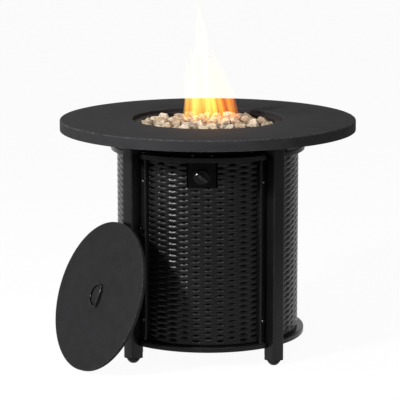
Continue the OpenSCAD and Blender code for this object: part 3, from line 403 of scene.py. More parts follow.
@dataclass(frozen=True)
class LavaFinish(Finish):
    """Porous broken stone, pale to brown from rock to rock, with painted shade in its pores and low on
    each stone.
    """

    tones: tuple[Colour, ...] = ((0.12, 0.075, 0.042), (0.3, 0.21, 0.125), (0.44, 0.36, 0.25),
                                 (0.22, 0.175, 0.14), (0.56, 0.48, 0.37))
    # Near-black colour of painted shade, in the pores and low on each stone
    pit: Colour = (0.018, 0.011, 0.007)
    pale: Colour = (0.58, 0.51, 0.4)
    pale_scale: float = 55.0
    pale_span: Span = (0.0, 0.6)
    stain: Colour = (0.2, 0.12, 0.07)
    stain_scale: float = 90.0
    stain_span: Span = (-0.5, 0.7)
    hole_scale: float = 260.0
    hole_rim: Span = (0.16, 0.34)
    hole_reach: float = 0.35
    holed_scale: float = 130.0
    grain_scale: float = 420.0
    grain_detail: float = 6.0
    grain_depth: float = 0.0011
    grain_strength: float = 0.9
    roughness: float = 0.93
    specular: float = 0.2

    def feeds(self, sketch: NodeSketch, effects: Effects) -> dict[str, Any]:
        """Draws the stone's tone with its stains, painted shade in the pores and low on each stone, and its
        rough surface.

        Args:
            sketch: node tree of the material.
            effects: shared effects.

        Returns:
            Value or socket for each input of the shader.
        """
        tone = self._each_tone(sketch)
        for colour, scale, (low, high) in ((self.pale, self.pale_scale, self.pale_span),
                                           (self.stain, self.stain_scale, self.stain_span)):
            patch = sketch.place(effects.mottle, Scale=scale, Low=low, High=high)
            tone = sketch.mix(patch, tone, colour)
        # The pores are painted near-black: painted shade inside them
        cells = sketch.add("ShaderNodeTexVoronoi", {"Vector": sketch.spot(), "Scale": self.hole_scale})
        away = cells.outputs["Distance"]
        hole = sketch.span(away, *self.hole_rim, 1.0, 0.0)
        pore_shade = sketch.product(hole, sketch.place(effects.mottle, Scale=self.holed_scale))
        tone = sketch.mix(pore_shade, tone, self.pit)
        # Painted shade at the foot of each stone
        tone = sketch.mix(sketch.attribute("foot_shade"), tone, self.pit)
        fine = sketch.place(effects.grain, Scale=self.grain_scale, Detail=self.grain_detail)
        height = sketch.combine("ADD", fine, sketch.span(away, 0.0, self.hole_reach, 0.0, 1.0))
        return {"Base Color": tone, "Roughness": self.roughness, "Specular IOR Level": self.specular,
                "Normal": sketch.bump(height, self.grain_depth, self.grain_strength)}

    def _each_tone(self, sketch: NodeSketch) -> Socket:
        """Gives each stone its own tone.

        Args:
            sketch: node tree of the material.

        Returns:
            The tone's socket.
        """
        ramp = sketch.add("ShaderNodeValToRGB", {0: sketch.attribute("tone")})
        steps = ramp.color_ramp.elements
        while len(steps) < len(self.tones):
            steps.new(0.5)
        for number, (step, colour) in enumerate(zip(steps, self.tones)):
            step.position = number / (len(self.tones) - 1)
            step.color = as_rgba(colour)
        return ramp.outputs[0]


class FinishRack:
    """Every finish of the part, by slot."""

    FINISHES: ClassVar[dict[Slot, Finish]] = {
        # In the two paints, the lighter edge colour is rubbed paint and a painted highlight; the near-black last
        # colour is painted shade
        Slot.TOP_PAINT: CoatedFinish(
            (0.0115, 0.0114, 0.0124), (0.0105, 0.0104, 0.0113), worn_and_lit=(0.1, 0.1, 0.105),
            roughness=(0.8, 0.84), specular=0.2, grain_scale=1500.0, grain_depth=0.00006,
            mottle_scale=6.0, streaks=0.25, wear_and_highlight=0.45, dust=0.02, painted_shade=(0.0008, 0.0008, 0.0014)),
        Slot.BLACK_PAINT: CoatedFinish(
            (0.0034, 0.0034, 0.0035), (0.0025, 0.0025, 0.0026), worn_and_lit=(0.03, 0.03, 0.03),
            roughness=(0.27, 0.32), specular=0.18, grain_depth=0.00001, wear_and_highlight=0.3, dust=0.012,
            painted_shade=(0.0006, 0.0006, 0.0006)),
        Slot.ENAMEL: CoatedFinish(
            (0.008, 0.0078, 0.0075), (0.013, 0.011, 0.0095), roughness=(0.5, 0.7), specular=0.15,
            grain_scale=500.0, mottle_scale=25.0, dust=0.12),
        Slot.STAINLESS: MetalFinish((0.56, 0.55, 0.53), (0.45, 0.43, 0.4), streaks=0.12),
        Slot.ZINC_STEEL: MetalFinish((0.17, 0.16, 0.145), (0.12, 0.115, 0.1), roughness=(0.28, 0.42),
                                     mottle_scale=120.0),
        Slot.CAST_MIXER: MetalFinish((0.32, 0.32, 0.33), (0.22, 0.22, 0.23), roughness=(0.5, 0.65),
                                     grain_scale=1400.0, grain_depth=0.00012),
        Slot.BRASS: MetalFinish((0.66, 0.45, 0.17), (0.5, 0.33, 0.12), roughness=(0.28, 0.42)),
        Slot.VALVE_CASTING: MetalFinish((0.52, 0.52, 0.53), (0.42, 0.42, 0.43), roughness=(0.42, 0.55),
                                        grain_scale=1600.0, grain_depth=0.0001),
        Slot.CERAMIC: CoatedFinish((0.72, 0.7, 0.66), (0.62, 0.59, 0.54), roughness=(0.22, 0.34),
                                   specular=0.5, wear_and_highlight=0.0),
        Slot.NYLON: CoatedFinish((0.02, 0.02, 0.02), (0.014, 0.014, 0.014), roughness=(0.42, 0.52),
                                 specular=0.2, grain_scale=1800.0, wear_and_highlight=0.0, dust=0.03),
        Slot.SILICONE: CoatedFinish((0.24, 0.035, 0.025), (0.17, 0.022, 0.016), roughness=(0.5, 0.62),
                                    wear_and_highlight=0.0),
        Slot.LAVA: LavaFinish(),
        Slot.BLACK_PLASTIC: CoatedFinish(
            (0.004, 0.004, 0.004), (0.003, 0.003, 0.003), roughness=(0.26, 0.33), specular=0.11,
            grain_scale=2200.0, grain_depth=0.00001, wear_and_highlight=0.2, dust=0.02),
        Slot.WHITE_PAINT: CoatedFinish((0.8, 0.8, 0.79), (0.7, 0.7, 0.68), roughness=(0.4, 0.5), wear_and_highlight=0.0,
                                       dust=0.0),
        Slot.BLACK_CHROME: MetalFinish((0.022, 0.022, 0.023), (0.014, 0.014, 0.0145),
                                       roughness=(0.1, 0.18), dust=0.0),
    }

    def __init__(self) -> None:
        """Builds every material."""
        effects = Effects()
        self._made = {slot: finish.material(slot.value, effects)
                      for slot, finish in self.FINISHES.items()}

    def __getitem__(self, slot: Slot) -> Material:
        """Gives the material of a slot."""
        return self._made[slot]


def rounded(corners: Corners, steps: int = 6, closed: bool = True) -> Outline:
    """Rounds the corners of an outline.

    Args:
        corners: (x, y) or (x, y, radius) of each corner, in order.
        steps: points on each rounded corner, less one.
        closed: whether the last corner joins the first.

    Returns:
        Points of (x, y, edge), where edge is 1 in the middle of a rounded corner and 0 on the flats.
    """
    points = [(*corner, 0.0)[:3] for corner in corners]
    result: Outline = []
    for number, (x, y, radius) in enumerate(points):
        ends = not closed and number in (0, len(points) - 1)
        here = Vector((x, y))
        before = Vector(points[number - 1][:2]) - here
        after = Vector(points[(number + 1) % len(points)][:2]) - here
        if ends or radius <= 0.0 or before.length < TINY or after.length < TINY:
            result.append((x, y, 0.0))
            continue
        half = before.angle(after) / 2.0
        back = min(radius / math.tan(half), CORNER_SHARE * before.length, CORNER_SHARE * after.length)
        true_radius = back * math.tan(half)
        bisector = (before.normalized() + after.normalized()).normalized()
        middle = here + bisector * (true_radius / math.sin(half))
        first = here + before.normalized() * back - middle
        turn = (here + after.normalized() * back - middle).angle_signed(first, 0.0)
        for step in range(steps + 1):
            spoke = Matrix.Rotation(turn * step / steps, 2) @ first
            result.append((middle.x + spoke.x, middle.y + spoke.y, math.sin(math.pi * step / steps)))
    return result


def circle(radius: float, height: float, segments: int) -> list[Vector]:
    """Gives points round the axis, all at one height."""
    angles = (2.0 * math.pi * number / segments for number in range(segments))
    return [Vector((radius * math.cos(a), radius * math.sin(a), height)) for a in angles]


def arc(middle: Span, radius: float, start: float, end: float, count: int) -> list[Span]:
    """Gives points of an arc between two angles in radians."""
    return [(middle[0] + radius * math.cos(a), middle[1] + radius * math.sin(a))
            for a in np.linspace(start, end, count)]


class Draft:
    """A mesh that is being drawn, in millimetres."""

    MITRE_LEAST: ClassVar[float] = 0.3
    WIRE_WEAR_AND_HIGHLIGHT: ClassVar[float] = 0.4
    HEAD_ROWS: ClassVar[int] = 12
    HEAD_SEGMENTS: ClassVar[int] = 40
    HEAD_SIDE: ClassVar[float] = 0.35
    HEAD_ROUND: ClassVar[float] = 2.4
    HEAD_WEAR_AND_HIGHLIGHT: ClassVar[float] = 0.5
    RECESS_DEPTH: ClassVar[float] = 0.55
    RECESS_REACH: ClassVar[float] = 0.62

    def __init__(self) -> None:
        """Starts an empty mesh with a layer for the rubbed edges, which the finishes also paint lighter as a
        highlight.
        """
        self.mesh = bmesh.new()
        self.edge = self.mesh.verts.layers.float.new("edge")

    def _vertex(self, place: Vector, matrix: Matrix, edge: float = 0.0) -> bmesh.types.BMVert:
        """Adds a point.

        Args:
            place: where the point is.
            matrix: frame of that place.
            edge: how much the point is rubbed and painted lighter as a highlight, from 0 to 1.

        Returns:
            The point.
        """
        vertex = self.mesh.verts.new(matrix @ place)
        vertex[self.edge] = edge
        return vertex

    def _face(self, corners: Sequence[bmesh.types.BMVert]) -> None:
        """Adds a face, leaving out corners that repeat."""
        loop = list(dict.fromkeys(corners))
        if len(loop) > 2:
            self.mesh.faces.new(loop)

    def _skin(self, rings: Sequence[Sequence[bmesh.types.BMVert]], closed: bool) -> None:
        """Joins rings of points by faces.

        Args:
            rings: rings with the same number of points, or with one.
            closed: whether the last ring joins the first.
        """
        following = list(rings[1:]) + ([rings[0]] if closed else [])
        for ring, other in zip(rings, following):
            count = max(len(ring), len(other))
            for number in range(count):
                after = (number + 1) % count
                self._face([ring[number % len(ring)], ring[after % len(ring)],
                            other[after % len(other)], other[number % len(other)]])

    def turn(self, outline: Outline, segments: int = 96, matrix: Matrix = Matrix()) -> None:
        """Turns an outline of (radius, height, edge) round the axis.

        Args:
            outline: points of the outline, a closed loop or a line from axis to axis.
            segments: number of segments.
            matrix: where the axis stands.
        """
        rings = []
        for radius, height, edge in outline:
            spots = [Vector((0.0, 0.0, height))] if radius < TINY else circle(radius, height, segments)
            rings.append([self._vertex(spot, matrix, edge) for spot in spots])
        on_axis = len(rings[0]) == 1 and len(rings[-1]) == 1
        self._skin(rings, not on_axis)

    def prism(self, outline: Outline, low: float, high: float, matrix: Matrix = Matrix(),
              edge_radius: float = 0.5, steps: int = 3) -> None:
        """Raises an outline into a block with rounded ends.

        Args:
            outline: points of (x, y, edge), a closed loop.
            low: height of the lower end.
            high: height of the upper end.
            matrix: where the block stands.
            edge_radius: radius of the rounded ends.
            steps: points on each rounded end, less one.
        """
        flat = [Vector((x, y)) for x, y, _ in outline]
        area = sum(a.x * b.y - b.x * a.y for a, b in zip(flat, flat[1:] + flat[:1]))
        way = math.copysign(1.0, area)
        inward = []
        for number, here in enumerate(flat):
            before = (here - flat[number - 1]).normalized()
            after = (flat[(number + 1) % len(flat)] - here).normalized()
            side = (Vector((-(before.y + after.y), before.x + after.x)) * way).normalized()
            square = Vector((-after.y, after.x)) * way
            inward.append(side / max(self.MITRE_LEAST, side.dot(square)))
        levels = []
        for step in range(steps + 1):
            angle = 0.5 * math.pi * step / steps
            levels.append((edge_radius * (1.0 - math.sin(angle)), edge_radius * (1.0 - math.cos(angle)),
                           math.sin(2.0 * angle)))
        heights = [(inset, low + rise, edge) for inset, rise, edge in levels]
        heights += [(inset, high - rise, edge) for inset, rise, edge in reversed(levels)]
        rings = []
        for inset, height, worn_and_lit in heights:
            rings.append([self._vertex(Vector((*(here + side * inset), height)), matrix, max(worn_and_lit, edge))
                          for here, side, (_, _, edge) in zip(flat, inward, outline)])
        self._skin(rings, False)
        self.mesh.faces.new(list(reversed(rings[0])))
        self.mesh.faces.new(rings[-1])

    def loop(self, path: Sequence[Vector], radius: float, matrix: Matrix = Matrix(),
             segments: int = 16) -> None:
        """Bends a wire round a closed flat path.

        Args:
            path: points of the path, in a plane of constant height.
            radius: radius of the wire.
            matrix: where the path lies.
            segments: points round the wire.
        """
        rings = []
        up = Vector((0.0, 0.0, 1.0))
        for number, here in enumerate(path):
            along = (path[(number + 1) % len(path)] - path[number - 1]).normalized()
            across = along.cross(up)
            rings.append([self._vertex(here + across * spot.x + up * spot.y, matrix, self.WIRE_WEAR_AND_HIGHLIGHT)
                          for spot in circle(radius, 0.0, segments)])
        self._skin(rings, True)

    def tongue(self, spine: Sequence[Vector], widths: Sequence[float], segments: int) -> None:
        """Lofts a closed form of changing width along a line.

        Args:
            spine: points of the line.
            widths: radius at each point.
            segments: points round the form.
        """
        rings = [[self._vertex(spine[0], Matrix())]]
        for here, width in zip(spine[1:-1], widths[1:-1]):
            rings.append([self._vertex(here + spot, Matrix()) for spot in circle(width, 0.0, segments)])
        rings.append([self._vertex(spine[-1], Matrix())])
        self._skin(rings, False)

    def screw_head(self, radius: float, height: float, matrix: Matrix, cross: float = 0.0) -> None:
        """Draws a domed head, with a cross recess where its width is given.

        Args:
            radius: radius of the head.
            height: height of the head.
            matrix: where the head stands, with its axis along z.
            cross: width of the recess's arms, or 0.
        """
        depth = self.RECESS_DEPTH * height if cross else 0.0
        rings = [[self._vertex(Vector((0.0, 0.0, height - depth)), matrix)]]
        for row in range(1, self.HEAD_ROWS + 1):
            share = row / self.HEAD_ROWS
            dome = math.sqrt(1.0 - share ** self.HEAD_ROUND)
            level = height * (self.HEAD_SIDE + (1.0 - self.HEAD_SIDE) * dome)
            ring = []
            for spot in circle(radius * share, level, self.HEAD_SEGMENTS):
                if min(abs(spot.x), abs(spot.y)) < cross / 2.0 and share < self.RECESS_REACH:
                    spot.z -= depth * (1.0 - share ** 3)
                ring.append(self._vertex(spot, matrix, self.HEAD_WEAR_AND_HIGHLIGHT))
            rings.append(ring)
        rings.append([self._vertex(spot, matrix) for spot in circle(radius, 0.0, self.HEAD_SEGMENTS)])
        rings.append([self._vertex(Vector((0.0, 0.0, 0.0)), matrix)])
        self._skin(rings, False)

    def piece(self, name: str, material: Material, sharp: float = 38.0) -> Piece:
        """Makes the object, where edges over the sharp angle in degrees stay sharp."""
        bmesh.ops.recalc_face_normals(self.mesh, faces=self.mesh.faces)
        return object_of(name, in_metres(name, self.mesh), material, sharp)


def in_metres(name: str, drawn: bmesh.types.BMesh) -> bpy.types.Mesh:
    """Turns a mesh that is drawn in millimetres into mesh data in metres.

    Args:
        name: name of the data.
        drawn: the drawn mesh, which is used up.

    Returns:
        The mesh data.
    """
    bmesh.ops.scale(drawn, vec=(MM, MM, MM), verts=drawn.verts)
    data = bpy.data.meshes.new(name)
    drawn.to_mesh(data)
    drawn.free()
    return data


def object_of(name: str, data: bpy.types.Mesh, material: Material, sharp: float) -> Piece:
    """Links a mesh into the scene.

    Args:
        name: name of the piece.
        data: its mesh.
        material: its finish.
        sharp: angle in degrees above which an edge stays sharp.

    Returns:
        The object.
    """
    data.materials.append(material)
    data.shade_smooth()
    data.set_sharp_from_angle(angle=math.radians(sharp))
    made = bpy.data.objects.new(name, data)
    bpy.context.scene.collection.objects.link(made)
    return made


def settle(piece: Piece, body: str, slot: Slot, *nodes: str) -> Piece:
    """Puts a piece on its body, in place of its nodes.

    Args:
        piece: the piece.
        body: body that it rides on.
        slot: finish that it takes; not used.
        nodes: nodes that it stands for.

    Returns:
        The piece.
    """
    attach(piece, body)
    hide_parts(*nodes)
    return piece


def mark(data: bpy.types.Mesh, name: str, values: Sequence[float]) -> None:
    """Writes a value at each point of a mesh."""
    data.attributes.new(name, "FLOAT", "POINT").data.foreach_set("value", values)


def paint_shade_on(piece: Piece, depth: float) -> Piece:
    """Paints a whole piece towards its finish's near-black tone, to a share of it: painted shade, which also takes
    its gloss away.
    """
    mark(piece.data, "painted_shade", [depth] * len(piece.data.vertices))
    return piece


def cut(piece: Piece, cutter: Piece) -> None:
    """Cuts one mesh out of another and keeps the result as plain mesh.

    Args:
        piece: object that is cut.
        cutter: object whose volume is taken away, and which is then deleted.
    """
    modifier = piece.modifiers.new("cut", "BOOLEAN")
    modifier.object = cutter
    modifier.operation = "DIFFERENCE"
    modifier.solver = "EXACT"
    depsgraph = bpy.context.evaluated_depsgraph_get()
    data = bpy.data.meshes.new_from_object(piece.evaluated_get(depsgraph))
    piece.modifiers.clear()
    data.name = piece.name
    piece.data = data
    bpy.data.objects.remove(cutter)


@dataclass
class Assembly:
    """A sub-assembly of the table, built in the finishes of a rack."""

    rack: FinishRack

    def build(self) -> list[Piece]:
        """Builds the pieces."""
        raise NotImplementedError

    def fit(self, draft: Draft, name: str, slot: Slot, body: str, *nodes: str) -> Piece:
        """Makes a drawn piece in its slot's finish, on its body, in place of its nodes."""
        return settle(draft.piece(name, self.rack[slot]), body, slot, *nodes)


@dataclass
class TableTop(Assembly):
    """Pressed top with its turned-down rim, and the ledge round the fire opening."""

    radius: float = 406.5
    top: float = 645.0
    rim_low: float = 615.0
    rim_bend: float = 1.4
    hem: float = 10.0
    hem_edge: float = 0.6
    sheet: float = 1.5
    edge: float = 4.0
    inner_bend: float = 0.4
    opening: float = 207.0
    lip: float = 2.0
    ledge_inner: float = 190.0
    ledge: float = 633.5
    ledge_edge: float = 0.5
    ledge_bend: float = 1.2
    ledge_under_bend: float = 0.8

    def build(self) -> list[Piece]:
        """Builds the top as one pressed sheet.

        Returns:
            The pieces.
        """
        inner, hem, wall = self.radius - self.sheet, self.radius - self.hem, self.opening + self.sheet
        under, fold, shelf = self.top - self.sheet, self.rim_low + self.sheet, self.ledge - self.sheet
        draft = Draft()
        draft.turn(rounded([
            (self.ledge_inner, shelf, self.ledge_edge), (self.ledge_inner, self.ledge, self.ledge_edge),
            (self.opening, self.ledge, self.ledge_bend), (self.opening, self.top, self.lip),
            (self.radius, self.top, self.edge), (self.radius, self.rim_low, self.rim_bend),
            (hem, self.rim_low, self.hem_edge), (hem, fold, self.hem_edge),
            (inner, fold, self.inner_bend), (inner, under, self.edge - self.sheet),
            (wall, under, self.inner_bend), (wall, shelf, self.ledge_under_bend)]), FINE_TURN)
        return [self.fit(draft, "top_sheet", Slot.TOP_PAINT, "frame", "table_top", "top_rim")]


@dataclass
class LavaBed(Assembly):
    """Loose broken stones in the fire pan."""

    upper_levels: int = 3
    lower_levels: int = 2
    relax: float = 0.2
    size_spread: Span = (0.86, 1.3)
    stray: Corner = (9.0, 9.0, 3.0)
    basin: float = 183.0
    ceiling: float = 643.0
    breaks: int = 9
    break_depth: Span = (0.55, 0.84)
    least_loss: float = 0.15
    chip_depth: float = 1.5
    chip_size: float = 11.0
    pit_depth: float = 1.9
    pit_size: float = 6.5
    pit_reach: float = 0.34
    pitted_size: float = 17.0
    pitted_share: float = 0.35
    rough_depth: float = 0.45
    rough_size: float = 3.2
    apart: Corner = (37.0, 91.0, 13.0)
    kinds: int = 17
    # Painted shade low on each stone: full up to the first share of its height, gone from the second
    foot_shade_rise: Span = (0.5, 0.92)
    foot_shade_most: float = 0.95
    sharp: float = 50.0
    seed: int = 11

    def build(self) -> list[Piece]:
        """Builds both layers from the stones' solids.

        Returns:
            The pieces.
        """
        rows = (("rock_heap_upper", "lava_rocks_upper", self.upper_levels),
                ("rock_heap_lower", "lava_rocks_lower", self.lower_levels))
        return [settle(self._heap(name, node, levels), "frame", Slot.LAVA, node)
                for name, node, levels in rows]

    def _heap(self, name: str, node: str, levels: int) -> Piece:
        """Breaks up the faces of one layer of stones.

        Args:
            name: name of the piece.
            node: node with the stones' solids.
            levels: times that each face is divided.

        Returns:
            The piece.
        """
        points, faces, stone = self._stones(frame["nodes"][node].data)
        for _ in range(levels):
            points, faces, stone = self._divide(points, faces, stone)
            points = self._relaxed(points, faces, self.relax)
        points = self._broken(points, stone)
        lost = np.array([self._sink(point, number) for point, number in zip(points, stone)])
        points = points - self._normals(points, faces) * lost[:, None]
        data = bpy.data.meshes.new(name)
        data.from_pydata((points * MM).tolist(), [], faces.tolist())
        shades = np.random.default_rng(self.seed).random(int(stone.max()) + 1)
        mark(data, "tone", shades[stone].astype(np.float32))
        # Painted shade, darkest at the foot of each stone
        mark(data, "foot_shade", self._foot_shaded(points[:, 2], stone).astype(np.float32))
        return object_of(name, data, self.rack[Slot.LAVA], self.sharp)

    def _foot_shaded(self, heights: np.ndarray, stone: np.ndarray) -> np.ndarray:
        """Says how much painted shade each point gets: most at the foot of its stone.

        Args:
            heights: heights of the points.
            stone: number of each point's stone.

        Returns:
            Shares from 0, unshaded, to the deepest painted shade.
        """
        count = int(stone.max()) + 1
        low, high = np.full(count, np.inf), np.full(count, -np.inf)
        np.minimum.at(low, stone, heights)
        np.maximum.at(high, stone, heights)
        share = (heights - low[stone]) / (high - low)[stone]
        return np.interp(share, self.foot_shade_rise, (self.foot_shade_most, 0.0))

    def _broken(self, points: np.ndarray, stone: np.ndarray) -> np.ndarray:
        """Gives each stone its own size and flat broken faces.

        Args:
            points: points of the mesh.
            stone: number of each point's stone.

        Returns:
            The moved points.
        """
        draw = np.random.default_rng(self.seed + 1)
        for number in range(int(stone.max()) + 1):
            here = stone == number
            middle = points[here].mean(axis=0)
            turn = np.linalg.qr(draw.normal(size=(3, 3)))[0]
            reach = ((points[here] - middle) * draw.uniform(*self.size_spread, 3)) @ turn
            half = np.linalg.norm(reach, axis=1).max()
            for _ in range(self.breaks):
                facing = draw.normal(size=3)
                facing /= np.linalg.norm(facing)
                beyond = np.clip(reach @ facing - half * draw.uniform(*self.break_depth), 0.0, None)
                reach = reach - np.outer(beyond, facing)
            spot = middle + draw.uniform(-1.0, 1.0, 3) * self.stray
            spot[2] = min(spot[2], self.ceiling - reach[:, 2].max())
            points[here] = spot + reach
        away = np.hypot(points[:, 0], points[:, 1])
        points[:, :2] *= np.minimum(1.0, self.basin / np.maximum(away, 1.0))[:, None]
        return points

    @staticmethod
    def _stones(source: bpy.types.Mesh) -> tuple[np.ndarray, np.ndarray, np.ndarray]:
        """Reads the stones of a node.

        Args:
            source: mesh of the node.

        Returns:
            Points in millimetres, triangles, and the number of the stone that each point is on.
        """
        mesh = bmesh.new()
        mesh.from_mesh(source)
        bmesh.ops.remove_doubles(mesh, verts=mesh.verts, dist=TINY)
        bmesh.ops.triangulate(mesh, faces=mesh.faces)
        mesh.verts.index_update()
        stone = np.full(len(mesh.verts), -1)
        count = 0
        for start in mesh.verts:
            if stone[start.index] >= 0:
                continue
            heap = [start]
            stone[start.index] = count
            while heap:
                for link in heap.pop().link_edges:
                    for end in link.verts:
                        if stone[end.index] < 0:
                            stone[end.index] = count
                            heap.append(end)
            count += 1
        points = np.array([vertex.co[:] for vertex in mesh.verts]) / MM
        faces = np.array([[vertex.index for vertex in face.verts] for face in mesh.faces])
        mesh.free()
        return points, faces, stone

    @staticmethod
    def _divide(points: np.ndarray, faces: np.ndarray,
                stone: np.ndarray) -> tuple[np.ndarray, np.ndarray, np.ndarray]:
        """Divides each triangle in four.

        Args:
            points: points of the mesh.
            faces: triangles.
            stone: number of each point's stone.

        Returns:
            The new points, triangles and numbers.
        """
        sides = np.sort(np.concatenate([faces[:, [0, 1]], faces[:, [1, 2]], faces[:, [2, 0]]]), axis=1)
        unique, which = np.unique(sides, axis=0, return_inverse=True)
        which = which.reshape(3, -1) + len(points)
        a, b, c = faces.T
        ab, bc, ca = which
        points = np.concatenate([points, points[unique].mean(axis=1)])
        stone = np.concatenate([stone, stone[unique[:, 0]]])
        faces = np.concatenate([np.stack(row, axis=1) for row in
                                ((a, ab, ca), (ab, b, bc), (ca, bc, c), (ab, bc, ca))])
        return points, faces, stone

    @staticmethod
    def _relaxed(points: np.ndarray, faces: np.ndarray, share: float) -> np.ndarray:
        """Moves each point towards the middle of its neighbours.

        Args:
            points: points of the mesh.
            faces: triangles.
            share: share of the way that a point moves.

        Returns:
            The moved points.
        """
        total, count = np.zeros_like(points), np.zeros(len(points))
        for first, second in ((0, 1), (1, 2), (2, 0)):
            np.add.at(total, faces[:, first], points[faces[:, second]])
            np.add.at(count, faces[:, first], 1.0)
        return points + share * (total / count[:, None] - points)

    @staticmethod
    def _normals(points: np.ndarray, faces: np.ndarray) -> np.ndarray:
        """Gives the normal at each point.

        Args:
            points: points of the mesh.
            faces: triangles.

        Returns:
            Unit normals.
        """
        a, b, c = (points[faces[:, corner]] for corner in range(3))
        across = np.cross(b - a, c - a)
        total = np.zeros_like(points)
        for corner in range(3):
            np.add.at(total, faces[:, corner], across)
        return total / np.linalg.norm(total, axis=1)[:, None]

    def _sink(self, point: np.ndarray, number: int) -> float:
        """Says how far a point of a stone is broken away.

        Args:
            point: place of the point.
            number: number of its stone, so that stones differ.

        Returns:
            The depth in millimetres.
        """
        place = Vector(point) + Vector(self.apart) * float(number % self.kinds)
        chip = max(0.0, noise.noise(place / self.chip_size)) * self.chip_depth
        nearest = noise.voronoi(place / self.pit_size)[0][0]
        pit = max(0.0, self.pit_reach - nearest) / self.pit_reach * self.pit_depth
        pit *= max(0.0, noise.noise(place / self.pitted_size) + self.pitted_share)
        rough = self.rough_depth * abs(noise.noise(place / self.rough_size))
        return self.least_loss + chip + pit + rough


@dataclass
class Drum(Assembly):
    """Round housing: upper ring, base tray and three fixed panels with a pressed weave."""

    ring_radius: float = 267.0
    ring_inner: float = 222.0
    inner_edge: float = 0.5
    upper_low: float = 575.0
    tray_low: float = 61.0
    sheet: float = 2.0
    lip_drop: float = 14.0
    lip_edge: float = 2.6
    lip_bend: float = 0.8
    notch_start: float = 249.8
    notch_end: float = 320.0
    notch_half: float = 19.5
    notch_edge: float = 0.01
    cut_beyond: float = 60.0
    vent_radius: float = 12.0
    vent_circle: float = 62.0
    vent_segments: int = 48
    vents: int = 6
    pivot: Span = (157.331, -201.879)
    pivot_hole: float = 4.6
    pivot_segments: int = 32
    panel_low: float = 63.0
    panel_high: float = 575.0
    panel_half_angle: float = 44.77
    PANELS: ClassVar[dict[str, float]] = {"left": 180.0, "right": 0.0, "rear": 90.0}

    def build(self) -> list[Piece]:
        """Builds the ring, the tray and the panels.

        Returns:
            The pieces.
        """
        upper = self._plate("upper_ring_band", self.ring_inner, self.upper_low, 0)
        tray = self._plate("base_tray_pan", 0.0, self.tray_low, self.vents)
        pieces = [settle(upper, "frame", Slot.BLACK_PAINT, "upper_ring"),
                  settle(tray, "frame", Slot.BLACK_PAINT, "base_tray")]
        for side, middle in self.PANELS.items():
            panel = WovenPanel(middle, self.panel_half_angle, self.panel_low, self.panel_high)
            piece = panel.piece(f"woven_{side}_panel", self.rack[Slot.BLACK_PAINT])
            pieces.append(settle(piece, "frame", Slot.BLACK_PAINT, f"{side}_panel"))
        return pieces

    def _plate(self, name: str, inner: float, low: float, vents: int) -> Piece:
        """Builds a round plate with a turned-down lip, notched round the legs.

        Args:
            name: name of the piece.
            inner: inner radius, or 0 for a whole disc.
            low: height of the plate's underside.
            vents: number of vent holes.

        Returns:
            The piece.
        """
        high, within = low + self.sheet, self.ring_radius - self.sheet
        drop = high - self.lip_drop
        edge = self.inner_edge if inner else 0.0
        outline = rounded([
            (inner, low, edge), (inner, high, edge), (self.ring_radius, high, self.lip_edge),
            (self.ring_radius, drop, self.lip_bend), (within, drop, self.lip_bend),
            (within, low, self.lip_bend)], closed=bool(inner))
        draft = Draft()
        draft.turn(outline if inner else outline[1:] + outline[:1], FINE_TURN)
        piece = draft.piece(name, self.rack[Slot.BLACK_PAINT])
        cutter = self._cutter(low - self.cut_beyond, high + self.cut_beyond, vents)
        cut(piece, cutter.piece(f"{name}_cutter", self.rack[Slot.BLACK_PAINT]))
        return piece

    def _cutter(self, low: float, high: float, vents: int) -> Draft:
        """Draws what is cut from a plate: leg notches, vent holes and the hole for the door's pivot.

        Args:
            low: height of the lower end.
            high: height of the upper end.
            vents: number of vent holes.

        Returns:
            The drawn cutter.
        """
        near, far, half = self.notch_start, self.notch_end, self.notch_half
        square = [(near, -half, 0.0), (far, -half, 0.0), (far, half, 0.0), (near, half, 0.0)]
        draft = Draft()
        for leg in Leg:
            draft.prism(square, low, high, leg.stand(), self.notch_edge, 1)
        for number in range(vents):
            turn = Matrix.Rotation(2.0 * math.pi * (number + 0.5) / vents, 4, "Z")
            spot = turn @ Matrix.Translation((self.vent_circle, 0.0, 0.0))
            draft.turn(self._bore(self.vent_radius, low, high), self.vent_segments, spot)
        spot = Matrix.Translation((*self.pivot, 0.0))
        draft.turn(self._bore(self.pivot_hole, low, high), self.pivot_segments, spot)
        return draft

    @staticmethod
    def _bore(radius: float, low: float, high: float) -> Outline:
        """Draws the outline of a straight hole."""
        return [(0.0, low, 0.0), (radius, low, 0.0), (radius, high, 0.0), (0.0, high, 0.0)]


